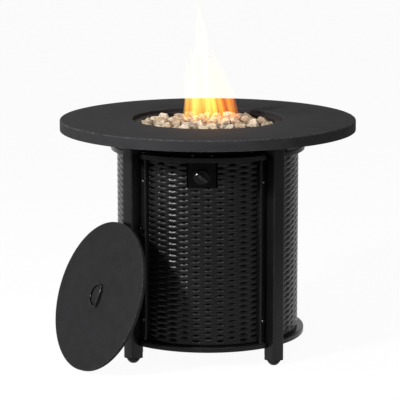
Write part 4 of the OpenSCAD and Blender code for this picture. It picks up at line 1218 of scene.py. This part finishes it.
@dataclass
class WovenPanel:
    """Curved sheet with a pressed basket weave: strands that pass over and under the stakes."""

    middle: float
    half_angle: float
    low: float
    high: float
    notch_half_angle: float = 0.0
    notch_low: float = 0.0
    weave_half_angle: float = 40.2
    weave_low: float = 71.0
    weave_high: float = 559.5
    strands: int = 62
    stake: float = 7.5
    crest: float = 250.2
    wave: float = 1.5
    under_swell: float = 0.2
    over_width: float = 0.14
    plain: float = 249.7
    gap_depth: float = 2.4
    gap_half: Span = (0.42, 0.42)
    back: float = 246.9
    least_sheet: float = 0.3
    fade_angle: float = 0.6
    fade_height: float = 1.5
    columns: int = 8
    rows: int = 8
    border_rows: tuple[int, int] = (4, 3)
    sharp: float = 75.0

    @property
    def pitch(self) -> float:
        """Height of one strand."""
        return (self.weave_high - self.weave_low) / self.strands

    def _lines(self) -> tuple[np.ndarray, np.ndarray]:
        """Lays out the grid.

        Returns:
            Angles from the panel's middle in degrees, and heights.
        """
        half_count = math.ceil(self.half_angle / (self.stake / self.columns))
        angles = np.linspace(-self.half_angle, self.half_angle, 2 * half_count + 1)
        below, above = self.border_rows
        above = max(above, round((self.high - self.weave_high) / self.pitch) + 1)
        heights = np.concatenate([
            np.linspace(self.low, self.weave_low, below)[:-1],
            np.linspace(self.weave_low, self.weave_high, self.strands * self.rows + 1),
            np.linspace(self.weave_high, self.high, above)[1:]])
        if self.notch_half_angle:
            for edge in (-self.notch_half_angle, self.notch_half_angle):
                angles[np.argmin(abs(angles - edge))] = edge
            heights[np.argmin(abs(heights - self.notch_low))] = self.notch_low
        return angles, heights

    def _surface(self, angles: np.ndarray, heights: np.ndarray) -> tuple[np.ndarray, np.ndarray]:
        """Presses the weave: rounded strands, and a lens-shaped gap wherever a strand dips under a stake.

        Args:
            angles: angles from the middle in degrees.
            heights: heights.

        Returns:
            Radii, and how far into a gap each point is, which the finish paints near-black as painted shade, one
            row for each angle.
        """
        across = (angles / self.stake - 0.5)[:, None]
        level = ((heights - self.weave_low) / self.pitch)[None, :]
        strand = np.floor(level)
        swell, gap = np.zeros((2, len(angles), len(heights)))
        for shift in (-1, 0, 1):
            offset = level - strand - shift - 0.5
            over = 0.5 + 0.5 * np.cos(math.pi * (across + strand + shift))
            side = np.clip(1.0 - (offset / (0.5 + self.over_width * over)) ** 2, 0.0, 1.0)
            swell = np.maximum(swell, (self.under_swell + (1.0 - self.under_swell) * over) * side)
            odd = across + strand + shift + 1.0
            aside = odd - 2.0 * np.round(odd / 2.0)
            lens = 1.0 - (aside / self.gap_half[0]) ** 2 - (offset / self.gap_half[1]) ** 2
            gap = np.maximum(gap, np.clip(lens, 0.0, 1.0))
        inside = np.clip((self.weave_half_angle - abs(angles)) / self.fade_angle, 0.0, 1.0)[:, None]
        for room in (heights - self.weave_low, self.weave_high - heights):
            inside = inside * np.clip(room / self.fade_height, 0.0, 1.0)
        pressed = self.crest - self.wave * (1.0 - swell) - self.gap_depth * gap
        radius = np.maximum(self.plain + inside * (pressed - self.plain), self.back + self.least_sheet)
        return radius, inside * gap

    def piece(self, name: str, material: Material) -> Piece:
        """Makes the panel.

        Args:
            name: name of the piece.
            material: its finish.

        Returns:
            The object.
        """
        angles, heights = self._lines()
        radius, painted_shade = self._surface(angles, heights)
        rows = len(heights)
        turned = np.radians(angles + self.middle)[:, None]
        spots = np.stack([radius * np.cos(turned), radius * np.sin(turned),
                          np.broadcast_to(heights, radius.shape)], axis=-1).reshape(-1, 3)
        middle = 0.5 * (angles[1:] + angles[:-1])[:, None]
        level = 0.5 * (heights[1:] + heights[:-1])[None, :]
        kept = np.ones((len(angles) - 1, rows - 1), dtype=bool)
        if self.notch_half_angle:
            kept = ~((abs(middle) < self.notch_half_angle) & (level > self.notch_low))
        mesh = bmesh.new()
        # The gaps carry a mask of painted shade: near-black, without gloss
        shade_layer = mesh.verts.layers.float.new("painted_shade")
        column, row = np.nonzero(kept)
        first = column * rows + row
        loops = np.stack([first, first + rows, first + rows + 1, first + 1], axis=1)
        points = {}
        for index in np.unique(loops):
            points[index] = mesh.verts.new(spots[index])
            points[index][shade_layer] = painted_shade.flat[index]
        for loop in loops:
            mesh.faces.new([points[index] for index in loop])
        self._close(mesh)
        return object_of(name, in_metres(name, mesh), material, self.sharp)

    def _close(self, mesh: bmesh.types.BMesh) -> None:
        """Closes the sheet with edges and a smooth back.

        Args:
            mesh: the pressed front, whose open border is carried back and filled in.
        """
        border = [edge for edge in mesh.edges if edge.is_boundary]
        walls = bmesh.ops.extrude_edge_only(mesh, edges=border)["geom"]
        for vertex in (part for part in walls if isinstance(part, bmesh.types.BMVert)):
            vertex.co.xy = vertex.co.xy.normalized() * self.back
        rim = [part for part in walls if isinstance(part, bmesh.types.BMEdge) and part.is_boundary]
        middle = math.radians(self.middle)
        bmesh.ops.triangle_fill(mesh, edges=rim, normal=(math.cos(middle), math.sin(middle), 0.0))
        bmesh.ops.recalc_face_normals(mesh, faces=mesh.faces)


@dataclass
class LegSet(Assembly):
    """Four square tubes with end plugs and levelling feet."""

    middle: float = 269.3
    width: float = 38.0
    corner: float = 3.5
    corner_steps: int = 8
    low: float = 15.8
    high: float = 614.5
    edge: float = 0.6
    plug: float = 3.0
    plug_edge: float = 1.0
    foot_segments: int = 48
    FOOT: ClassVar[Corners] = (
        (0.0, 0.0), (9.0, 0.0, 0.8), (14.05, 4.5, 1.5), (17.5, 9.5, 1.2), (17.5, 12.5, 1.0),
        (5.0, 12.5, 0.3), (5.0, 40.0, 0.5), (0.0, 40.0))

    def build(self) -> list[Piece]:
        """Builds the tubes, plugs and feet.

        Returns:
            The pieces.
        """
        half = self.width / 2.0
        square = rounded([(self.middle + x, y, self.corner) for x, y in
                          ((-half, -half), (half, -half), (half, half), (-half, half))], self.corner_steps)
        middle = Matrix.Translation((self.middle, 0.0, 0.0))
        pieces = []
        plugs = Draft()
        for leg in Leg:
            name = leg.name.lower()
            tube = Draft()
            tube.prism(square, self.low, self.high, leg.stand(), self.edge)
            pieces.append(self.fit(tube, f"tube_{name}", Slot.BLACK_PAINT, "frame", f"leg_{name}"))
            plugs.prism(square, self.low - self.plug, self.low, leg.stand(), self.plug_edge)
            foot = Draft()
            foot.turn(rounded(self.FOOT, closed=False), self.foot_segments, leg.stand() @ middle)
            pieces.append(self.fit(foot, f"glide_{name}", Slot.BLACK_PLASTIC, f"foot_{name}",
                                   f"foot_{name}"))
        pieces.append(self.fit(plugs, "tube_end_caps", Slot.BLACK_PLASTIC, "frame", "leg_plugs"))
        return pieces


@dataclass
class Door(Assembly):
    """Woven door with two stiles, their screws and the pull knob."""

    low: float = 65.5
    high: float = 560.5
    middle: float = -90.0
    half_angle: float = 39.84
    weave_half_angle: float = 36.6
    notch_half_angle: float = 9.55
    notch_low: float = 494.0
    drum: float = 250.05
    face: float = 259.0
    stile_start: float = 22.5
    stile_end: float = 40.5
    stile_middle: float = 31.5
    stile_corner: float = 3.0
    stile_edge: float = 1.0
    stile_steps: int = 5
    screw_heights: Span = (123.5, 502.5)
    screw_radius: float = 3.6
    screw_height: float = 2.2
    screw_recess: float = 1.2
    pull_height: float = 374.0
    pull_segments: int = 48
    PULL: ClassVar[Corners] = (
        (0.0, 0.0), (5.0, 0.0, 0.3), (4.0, 2.0, 1.2), (4.0, 7.0, 1.5), (7.0, 8.0, 1.2),
        (7.0, 12.0, 1.8), (5.0, 14.0, 1.2), (0.0, 14.0))

    def build(self) -> list[Piece]:
        """Builds the door's pieces.

        Returns:
            The pieces.
        """
        panel = WovenPanel(self.middle, self.half_angle, self.low, self.high, self.notch_half_angle,
                           self.notch_low, self.weave_half_angle)
        woven = panel.piece("woven_door", self.rack[Slot.BLACK_PAINT])
        pieces = [settle(woven, "door", Slot.BLACK_PAINT, "door_panel")]
        screws = Draft()
        for name, leg, sign in (("left", Leg.FRONT_LEFT, 1.0), ("right", Leg.FRONT_RIGHT, -1.0)):
            stile = Draft()
            stile.prism(self._stile_outline(sign), self.low, self.high, leg.stand(), self.stile_edge)
            pieces.append(self.fit(stile, f"{name}_stile_bar", Slot.BLACK_PAINT, "door",
                                   f"door_{name}_stile"))
            for height in self.screw_heights:
                spot = self._on_stile(leg, sign, height)
                screws.screw_head(self.screw_radius, self.screw_height, spot, self.screw_recess)
        pieces.append(self.fit(screws, "stile_screw_heads", Slot.ZINC_STEEL, "door", "stile_screws"))
        pull = Draft()
        pull.turn(rounded(self.PULL, closed=False), self.pull_segments,
                  self._on_stile(Leg.FRONT_LEFT, 1.0, self.pull_height))
        pieces.append(self.fit(pull, "pull_button", Slot.BLACK_CHROME, "door", "door_pull"))
        return pieces

    def _stile_outline(self, sign: float) -> Outline:
        """Draws a stile's section.

        Args:
            sign: 1 for the left stile, -1 for the right.

        Returns:
            The outline in the leg's frame.
        """
        start, end = self.stile_start * sign, self.stile_end * sign
        steps = np.linspace(end, start, self.stile_steps)
        curve = [(math.sqrt(self.drum ** 2 - side ** 2), float(side), 0.0) for side in steps]
        corner = self.stile_corner
        return rounded([(self.face, start, corner), (self.face, end, corner), *curve])

    def _on_stile(self, leg: Leg, sign: float, height: float) -> Matrix:
        """Gives the frame of a spot on a stile's face, with z out of the face."""
        spot = Matrix.Translation((self.face, self.stile_middle * sign, height))
        return leg.stand() @ spot @ Matrix.Rotation(math.radians(90.0), 4, "Y")


@dataclass
class Controls(Assembly):
    """Control plate with its bezel and the gas knob."""

    half_width: float = 37.0
    front: float = -253.0
    sheet: float = 2.0
    low: float = 496.0
    high: float = 575.0
    flange_back: float = -226.0
    flange_edge: float = 0.5
    plate_bend: float = 2.2
    plate_edge: float = 0.6
    plate_side: float = 0.7
    axis_height: float = 526.0
    segments: int = 72
    knob_back: float = 6.0
    knob_radius: float = 20.0
    knob_side: float = 6.0
    knob_edge: float = 0.8
    skirt: float = 10.0
    skirt_slope: float = 1.5
    skirt_round: float = 1.6
    grip_width: float = 9.0
    grip_half: float = 18.6
    grip_height: float = 12.0
    grip_turn: float = 52.0
    grip_sink: float = 1.5
    grip_round: float = 0.9
    grip_edge: float = 1.4
    grip_steps: tuple[int, int] = (8, 4)
    dot_radius: float = 1.8
    dot_height: float = 0.5
    dot_reach: float = 15.0
    dot_sink: float = 0.1
    # Share of painted shade on the plate, which sits in the table top's shadow
    painted_shade_share: float = 0.65
    BEZEL: ClassVar[Corners] = ((13.0, 0.0), (13.0, 1.5, 0.5), (23.5, 1.5, 0.9), (23.5, 0.0))

    def build(self) -> list[Piece]:
        """Builds the plate, bezel, knob and pointer.

        Returns:
            The pieces.
        """
        facing = Matrix.Translation((0.0, self.front, self.axis_height))
        facing = facing @ Matrix.Rotation(math.radians(90.0), 4, "X")
        bezel = Draft()
        bezel.turn(rounded(self.BEZEL), self.segments, facing)
        at_knob = facing @ Matrix.Translation((0.0, 0.0, self.knob_back))
        turned = at_knob @ Matrix.Rotation(math.radians(self.grip_turn), 4, "Z")
        dot_spot = Matrix.Translation((0.0, self.dot_reach, self.skirt + self.grip_height - self.dot_sink))
        dot = Draft()
        dot.screw_head(self.dot_radius, self.dot_height, turned @ dot_spot)
        plate = self.fit(self._plate(), "control_face", Slot.BLACK_PAINT, "frame", "control_plate")
        return [
            # The plate is painted darker: painted shade under the table top
            paint_shade_on(plate, self.painted_shade_share),
            self.fit(bezel, "bezel_collar", Slot.BLACK_PLASTIC, "frame", "knob_bezel"),
            self.fit(self._knob(at_knob, turned), "gas_knob", Slot.BLACK_PLASTIC, "knob", "knob"),
            self.fit(dot, "gas_knob_dot", Slot.WHITE_PAINT, "knob", "knob_pointer"),
        ]

    def _plate(self) -> Draft:
        """Draws the control plate: a bent sheet with a flange at its top.

        Returns:
            The drawn plate.
        """
        back, under = self.front + self.sheet, self.high - self.sheet
        section = rounded([
            (self.front, self.low, self.plate_edge), (self.front, self.high, self.plate_bend),
            (self.flange_back, self.high, self.flange_edge), (self.flange_back, under, self.flange_edge),
            (back, under, self.plate_edge), (back, self.low, self.plate_edge)])
        stand = Matrix(((0, 0, 1, 0), (1, 0, 0, 0), (0, 1, 0, 0), (0, 0, 0, 1)))
        draft = Draft()
        draft.prism(section, -self.half_width, self.half_width, stand, self.plate_side)
        return draft

    def _knob(self, at_knob: Matrix, turned: Matrix) -> Draft:
        """Draws the knob: a round skirt with a grip bar across it.

        Args:
            at_knob: where the skirt stands.
            turned: where the grip stands, at its angle.

        Returns:
            The drawn knob.
        """
        draft = Draft()
        draft.turn(rounded([
            (0.0, 0.0), (self.knob_radius, 0.0, self.knob_edge),
            (self.knob_radius, self.knob_side, self.knob_edge),
            (self.knob_radius - self.skirt_slope, self.skirt, self.skirt_round),
            (0.0, self.skirt)], closed=False), self.segments, at_knob)
        half, reach = self.grip_width / 2.0, self.grip_half
        round_steps, edge_steps = self.grip_steps
        bar = rounded([(x, y, half * self.grip_round) for x, y in
                       ((half, -reach), (half, reach), (-half, reach), (-half, -reach))], round_steps)
        draft.prism(bar, self.skirt - self.grip_sink, self.skirt + self.grip_height, turned,
                    self.grip_edge, edge_steps)
        return draft


@dataclass
class Lid(Assembly):
    """Round cover that leans on the front left leg, with its folding ring handle."""

    radius: float = 204.0
    height: float = 10.0
    sheet: float = 1.5
    edge: float = 2.0
    rim_edge: float = 0.6
    rim_bend: float = 0.8
    bar: float = 10.0
    wire: float = 2.5
    lift: float = 3.0
    bow_middle: float = -2.0
    bow_radius: float = 30.0
    bow_steps: int = 49
    bend: float = 6.0
    bend_steps: int = 9
    clip_half: float = 19.0
    clip_edge: float = 0.4
    flange: float = 9.0
    # Edge marks of the clip's flanges: rubbed paint and a painted highlight
    flange_wear_and_highlight: Span = (0.3, 0.6)
    strap: float = 1.2
    sleeve_room: float = 0.12
    sleeve: float = 1.7
    sleeve_mouth: float = 0.5
    sleeve_steps: int = 17
    rivets: Span = (6.7, 13.0)
    rivet_radius: float = 2.1
    rivet_height: float = 1.0
    # Share of painted shade on the cover, which makes it darker than the top in the same paint
    painted_shade_share: float = 0.25

    def stand(self) -> Matrix:
        """Works out the lid's frame from its joints.

        Returns:
            A frame with z out of the face, y up the face and its origin at the middle, in millimetres.
        """
        joints = {joint["name"]: joint for joint in frame["joints"]}
        up = Vector(joints["lid_ring_swing"]["axis"]).normalized()
        away = Vector(joints["lid_lift"]["axis"])
        flat = Vector((away.x, away.y, 0.0)).normalized()
        out = flat * up.z + Vector((0.0, 0.0, math.sqrt(1.0 - up.z ** 2)))
        across = up.cross(out)
        bar_spot = Vector(joints["lid_ring_swing"]["pos_m"]) / MM
        middle = bar_spot - across * self.bar - out * self.lift
        turned = Matrix((across, up, out)).transposed().to_4x4()
        return Matrix.Translation(middle) @ turned

    def build(self) -> list[Piece]:
        """Builds the cover, its clip, rivets and ring.

        Returns:
            The pieces.
        """
        at_lid = self.stand()
        inner = self.radius - self.sheet
        cover = Draft()
        cover.turn(rounded([
            (0.0, 0.0), (self.radius, 0.0, self.edge), (self.radius, -self.height, self.rim_edge),
            (inner, -self.height, self.rim_edge), (inner, -self.sheet, self.rim_bend),
            (0.0, -self.sheet)], closed=False), FINE_TURN, at_lid)
        clip = Draft()
        along = Matrix(((1, 0, 0, self.bar), (0, 0, -1, 0), (0, 1, 0, 0), (0, 0, 0, 1)))
        clip.prism(self._strap_outline(), -self.clip_half, self.clip_half, at_lid @ along, self.clip_edge)
        rivets = Draft()
        for x in (-self.rivets[0], self.rivets[0]):
            for y in (-self.rivets[1], self.rivets[1]):
                spot = Matrix.Translation((self.bar + x, y, self.strap))
                rivets.screw_head(self.rivet_radius, self.rivet_height, at_lid @ spot)
        ring = Draft()
        ring.loop(self._ring_path(), self.wire, at_lid)
        plate = self.fit(cover, "lid_plate", Slot.TOP_PAINT, "lid", "lid_cover")
        return [
            # The cover is painted darker than the top: painted shade
            paint_shade_on(plate, self.painted_shade_share),
            self.fit(clip, "lid_clip_strap", Slot.BLACK_PAINT, "lid", "lid_handle_clip"),
            self.fit(rivets, "lid_rivet_heads", Slot.BLACK_PAINT, "lid", "lid_rivets"),
            self.fit(ring, "lid_ring_bow", Slot.BLACK_CHROME, "lid_ring", "lid_handle_ring"),
        ]

    def _strap_outline(self) -> Outline:
        """Draws the clip's section: two flanges and a sleeve over the ring's bar.

        Returns:
            The outline, with x across the bar and y out of the lid.
        """
        inner, outer = self.wire + self.sleeve_room, self.wire + self.sleeve
        start, mouth = math.asin((self.lift - self.strap) / outer), self.sleeve_mouth
        over = arc((0.0, self.lift), outer, -start, math.pi + start, self.sleeve_steps)
        under = arc((0.0, self.lift), inner, math.pi + mouth, -mouth, self.sleeve_steps)
        foot = inner * math.cos(mouth)
        low_mark, high_mark = self.flange_wear_and_highlight
        return [(self.flange, 0.0, low_mark), (self.flange, self.strap, high_mark),
                *((*point, 0.0) for point in over),
                (-self.flange, self.strap, high_mark), (-self.flange, 0.0, low_mark), (-foot, 0.0, 0.0),
                *((*point, 0.0) for point in under), (foot, 0.0, 0.0)]

    def _ring_path(self) -> list[Vector]:
        """Draws the ring's middle line: a bow to the left of a straight bar.

        Returns:
            The points of the closed path.
        """
        quarter = 0.5 * math.pi
        x, y = self.bar - self.bend, self.bow_radius - self.bend
        path = arc((self.bow_middle, 0.0), self.bow_radius, quarter, 3.0 * quarter, self.bow_steps)
        path += arc((x, -y), self.bend, -quarter, 0.0, self.bend_steps)
        path += arc((x, y), self.bend, 0.0, quarter, self.bend_steps)
        return [Vector((*point, self.lift)) for point in path]


@dataclass
class InnerParts(Assembly):
    """Carried-over parts inside the housing, each with the finish that its slot names."""

    def build(self) -> list[Piece]:
        """Gives each shown node its finish.

        Returns:
            The dressed nodes.
        """
        slots = {row["node"]: Slot(row["material_slot"]) for row in frame["record"]["subparts"]}
        shown = {name: node for name, node in frame["nodes"].items() if not node.hide_render}
        for name, node in shown.items():
            node.data.materials.clear()
            node.data.materials.append(self.rack[slots[name]])
        return list(shown.values())


@dataclass(frozen=True)
class GlowFinish:
    """Glowing gas: light that is given off all through a tongue of flame."""

    colour: Colour
    strength: float
    haze: Colour = (1.0, 0.86, 0.68)
    haze_density: float = 6.0

    def material(self, name: str) -> Material:
        """Builds the glow.

        Args:
            name: name of the material.

        Returns:
            The material.
        """
        made, sketch = blank_material(name)
        glow = sketch.add("ShaderNodeEmission", {"Color": as_rgba(self.colour), "Strength": self.strength})
        haze = sketch.add("ShaderNodeVolumeAbsorption",
                          {"Color": as_rgba(self.haze), "Density": self.haze_density})
        both = sketch.add("ShaderNodeAddShader", {0: glow.outputs[0], 1: haze.outputs[0]})
        sketch.add("ShaderNodeOutputMaterial", {"Volume": both.outputs[0]})
        return made


@dataclass
class Flame:
    """Staging: the gas flame over the stones and the warm light that it throws."""

    foot: float = 638.0
    middle: Span = (6.0, 12.0)
    spread: float = 70.0
    first_share: float = 0.3
    turn_each: float = 137.5
    tongues: int = 38
    tallest: float = 368.0
    shortest: float = 170.0
    fall: float = 2.3
    height_spread: Span = (0.78, 1.05)
    width_spread: Span = (4.0, 8.0)
    middle_width: float = 4.0
    warmth_spread: float = 0.7
    wave_start: float = 6.28
    splay: float = 0.22
    splay_rise: float = 28.0
    gather: float = 0.6
    gather_rise: Span = (80.0, 220.0)
    lean: float = 0.11
    sway: float = 9.0
    waves: Span = (33.0, 41.0)
    belly: Span = (0.6, 2.3)
    taper: float = 1.3
    fullness: float = 1.35
    tip: float = 0.995
    levels: int = 26
    segments: int = 14
    light: float = 0.045
    light_colour: Colour = (1.0, 0.62, 0.3)
    light_size: float = 70.0
    light_height: float = 720.0
    seed: int = 23
    GLOWS: ClassVar[tuple[GlowFinish, ...]] = (
        GlowFinish((1.0, 0.54, 0.1), 31.0), GlowFinish((1.0, 0.38, 0.045), 28.0),
        GlowFinish((1.0, 0.2, 0.012), 31.0))

    def build(self) -> None:
        """Builds the tongues and their lamp."""
        draw = np.random.default_rng(self.seed)
        glows = [glow.material(f"flame_glow_{number}") for number, glow in enumerate(self.GLOWS)]
        half = len(glows) / 2.0
        for number in range(self.tongues):
            away = math.sqrt((number + self.first_share) / self.tongues)
            angle = number * math.radians(self.turn_each)
            height = self.shortest + (self.tallest - self.shortest) * math.exp(-(self.fall * away) ** 2)
            height *= draw.uniform(*self.height_spread)
            start = Vector((self.middle[0] + self.spread * away * math.cos(angle),
                            self.middle[1] + self.spread * away * math.sin(angle), self.foot))
            width = draw.uniform(*self.width_spread) + self.middle_width * (1.0 - away)
            warmth = (start.x - self.middle[0]) / self.spread
            warmth += draw.uniform(-self.warmth_spread, self.warmth_spread)
            spine = self._spine(start, height, draw.uniform(0.0, self.wave_start, 2))
            draft = Draft()
            draft.tongue(spine, self._widths(width), self.segments)
            glow = glows[int(np.clip(warmth * half + half, 0, len(glows) - 1))]
            piece = draft.piece(f"flame_tongue_{number}", glow)
        self._lamp()

    def _lamp(self) -> None:
        """Hangs a warm lamp in the flame."""
        data = bpy.data.lights.new("flame_light", "POINT")
        data.energy, data.color = self.light, self.light_colour
        data.shadow_soft_size = self.light_size * MM
        lamp = bpy.data.objects.new("flame_light", data)
        lamp.location = Vector((*self.middle, self.light_height)) * MM
        bpy.context.scene.collection.objects.link(lamp)

    def _spine(self, start: Vector, height: float, turn: np.ndarray) -> list[Vector]:
        """Draws the wavering middle line of a tongue.

        Args:
            start: its foot.
            height: its height.
            turn: where its waves begin.

        Returns:
            Points from foot to tip.
        """
        points = []
        begin, length = self.gather_rise
        for share in np.linspace(0.0, 1.0, self.levels):
            rise = share * height
            width = 1.0 - self.gather * min(1.0, max(0.0, rise - begin) / length)
            width += self.splay * math.exp(-rise / self.splay_rise)
            x = (start.x - self.middle[0]) * width + self.middle[0] - self.lean * rise
            y = (start.y - self.middle[1]) * width + self.middle[1]
            sway = self.sway * share
            points.append(Vector((x + sway * math.sin(turn[0] + rise / self.waves[0]),
                                  y + sway * math.cos(turn[1] + rise / self.waves[1]), start.z + rise)))
        return points

    def _widths(self, width: float) -> list[float]:
        """Gives a tongue's radius from foot to tip, by its width."""
        low, more = self.belly
        return [width * (low + more * share) * (1.0 - share) ** self.taper * self.fullness
                for share in np.linspace(0.0, self.tip, self.levels)]


@dataclass
class PhotoCamera:
    """Camera at the photograph's viewing angle."""

    away: float = 5.4876
    height: float = 1.442
    azimuth: float = 3.5
    pitch: float = 9.89
    lens: float = 181.41
    sensor: float = 36.0
    clip_end: float = 100.0
    shift: Span = (-0.0195, -0.0627)

    def place(self) -> None:
        """Adds the camera and makes it the scene's own."""
        data = bpy.data.cameras.new("photo_camera")
        data.lens, data.sensor_width = self.lens, self.sensor
        data.shift_x, data.shift_y = self.shift
        data.clip_end = self.clip_end
        made = bpy.data.objects.new("photo_camera", data)
        turn = math.radians(self.azimuth)
        made.location = (self.away * math.sin(turn), -self.away * math.cos(turn), self.height)
        made.rotation_euler = (math.radians(90.0 - self.pitch), 0.0, turn)
        bpy.context.scene.collection.objects.link(made)
        bpy.context.scene.camera = made


@dataclass
class Studio:
    """Pale floor, even surroundings and soft lamps: from the left front, from above and from the front."""

    floor_reach: float = 11.0
    cove: float = 1.5
    wall: float = 4.5
    backing: float = 0.05
    cove_steps: int = 10
    floor_colour: Colour = (0.8, 0.8, 0.8)
    floor_glow: float = 0.95
    near_glow: float = 0.48
    white_middle: Corner = (-0.15, 0.2, 0.0)
    white_reach: Span = (0.95, 2.2)
    white_side: Corner = (-0.25, 0.97, 0.0)
    white_start: Span = (-0.1, 0.5)
    dim_side: Corner = (1.0, -0.06, 0.0)
    dim_start: Span = (0.58, 1.9)
    dim_glow: float = 0.48
    surroundings: float = 0.2
    lamp_power: float = 235.0
    lamp_width: float = 0.36
    lamp_away: float = 4.0
    lamp_azimuth: float = -131.5
    lamp_elevation: float = 28.0
    lamp_aim: float = 0.35
    over_power: float = 18.0
    over_width: float = 1.6
    over_place: Corner = (-0.5, -0.3, 2.7)
    front_power: float = 60.0
    front_size: Span = (3.0, 0.6)
    front_place: Corner = (0.35, -2.9, 2.3)

    def build(self) -> None:
        """Builds the floor, the world and the lamps."""
        self._floor()
        self._world()
        azimuth, rise = math.radians(self.lamp_azimuth), math.radians(self.lamp_elevation)
        level = math.cos(rise)
        toward = Vector((math.cos(azimuth) * level, math.sin(azimuth) * level, math.sin(rise)))
        aim = Vector((0.0, 0.0, self.lamp_aim))
        self._lamp("side_lamp", aim + toward * self.lamp_away, aim, (self.lamp_width,), self.lamp_power)
        self._lamp("over_lamp", Vector(self.over_place), aim, (self.over_width,), self.over_power)
        self._lamp("front_lamp", Vector(self.front_place), aim, self.front_size, self.front_power)

    @staticmethod
    def _seen(sketch: NodeSketch) -> Socket:
        """Tells what is seen from what only lights.

        Args:
            sketch: node tree of the material.

        Returns:
            1 for what the camera sees directly, in gloss or through glass, and 0 for other light.
        """
        path = sketch.add("ShaderNodeLightPath").outputs
        gloss = sketch.combine("MAXIMUM", path["Is Camera Ray"], path["Is Glossy Ray"])
        return sketch.combine("MAXIMUM", gloss, path["Is Transmission Ray"])

    def _floor(self) -> None:
        """Lays a round floor that keeps the shadow and sweeps up into a backdrop."""
        sizes = (self.floor_reach, self.wall, self.cove, self.backing)
        reach, wall, cove, backing = (size / MM for size in sizes)
        outside = reach + backing
        draft = Draft()
        draft.turn(rounded([(0.0, 0.0), (reach, 0.0, cove), (reach, wall), (outside, wall),
                            (outside, -backing), (0.0, -backing)], self.cove_steps, closed=False))
        draft.piece("floor_and_backdrop", self._pale())

    def _pale(self) -> Material:
        """Builds the floor's finish.

        It glows for the camera and in gloss only: white round the object and behind it, pale grey on the
        side where the lamps stand, and a little dimmer far out on the right.

        Returns:
            The material.
        """
        made, sketch = blank_material("pale_floor")
        matt = sketch.add("ShaderNodeBsdfDiffuse", {"Color": as_rgba(self.floor_colour)})
        spot = sketch.spot()
        away = sketch.measure("DISTANCE", spot, self.white_middle)
        behind = sketch.measure("DOT_PRODUCT", spot, self.white_side)
        aside = sketch.measure("DOT_PRODUCT", spot, self.dim_side)
        level = sketch.combine("MAXIMUM", sketch.span(away, *self.white_reach, 1.0, self.near_glow),
                               sketch.span(behind, *self.white_start, self.near_glow, 1.0))
        level = sketch.combine("MINIMUM", level, sketch.span(aside, *self.dim_start, 1.0, self.dim_glow))
        white = sketch.add("ShaderNodeEmission", {"Strength": level})
        share = sketch.product(self._seen(sketch), self.floor_glow)
        mixed = sketch.add("ShaderNodeMixShader", {0: share, 1: matt.outputs[0], 2: white.outputs[0]})
        sketch.add("ShaderNodeOutputMaterial", {"Surface": mixed.outputs[0]})
        return made

    def _world(self) -> None:
        """Lights the room above the backdrop evenly."""
        world = bpy.data.worlds.new("surroundings")
        bpy.context.scene.world = world
        world.use_nodes = True
        sketch = NodeSketch(world.node_tree)
        white = {"Color": (1.0, 1.0, 1.0, 1.0), "Strength": self.surroundings}
        back = sketch.add("ShaderNodeBackground", white)
        sketch.add("ShaderNodeOutputWorld", {"Surface": back.outputs[0]})

    @staticmethod
    def _lamp(name: str, place: Vector, aim: Vector, size: tuple[float, ...], power: float) -> None:
        """Hangs a soft lamp.

        Args:
            name: name of the lamp.
            place: where it hangs.
            aim: point that it faces.
            size: its width, or its width and height.
            power: its power in watts.
        """
        data = bpy.data.lights.new(name, "AREA")
        data.shape = "DISK" if len(size) == 1 else "RECTANGLE"
        data.size, data.size_y = size[0], size[-1]
        data.energy = power
        made = bpy.data.objects.new(name, data)
        made.location = place
        made.rotation_euler = (place - aim).to_track_quat("Z", "Y").to_euler()
        bpy.context.scene.collection.objects.link(made)


def main() -> None:
    """Builds the scene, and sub-assembly by sub-assembly."""
    logging.basicConfig(level=logging.INFO, format="%(message)s")
    bpy.context.scene.view_settings.view_transform = "Standard"
    PhotoCamera().place()
    rack = FinishRack()
    for kind in (TableTop, LavaBed, Drum, LegSet, Door, Controls, Lid, InnerParts):
        for piece in kind(rack).build():
            LOG.info("%s: %s, %d faces", kind.__name__, piece.name, len(piece.data.polygons))
    Flame().build()
    Studio().build()


if __name__ == "__main__":
    main()
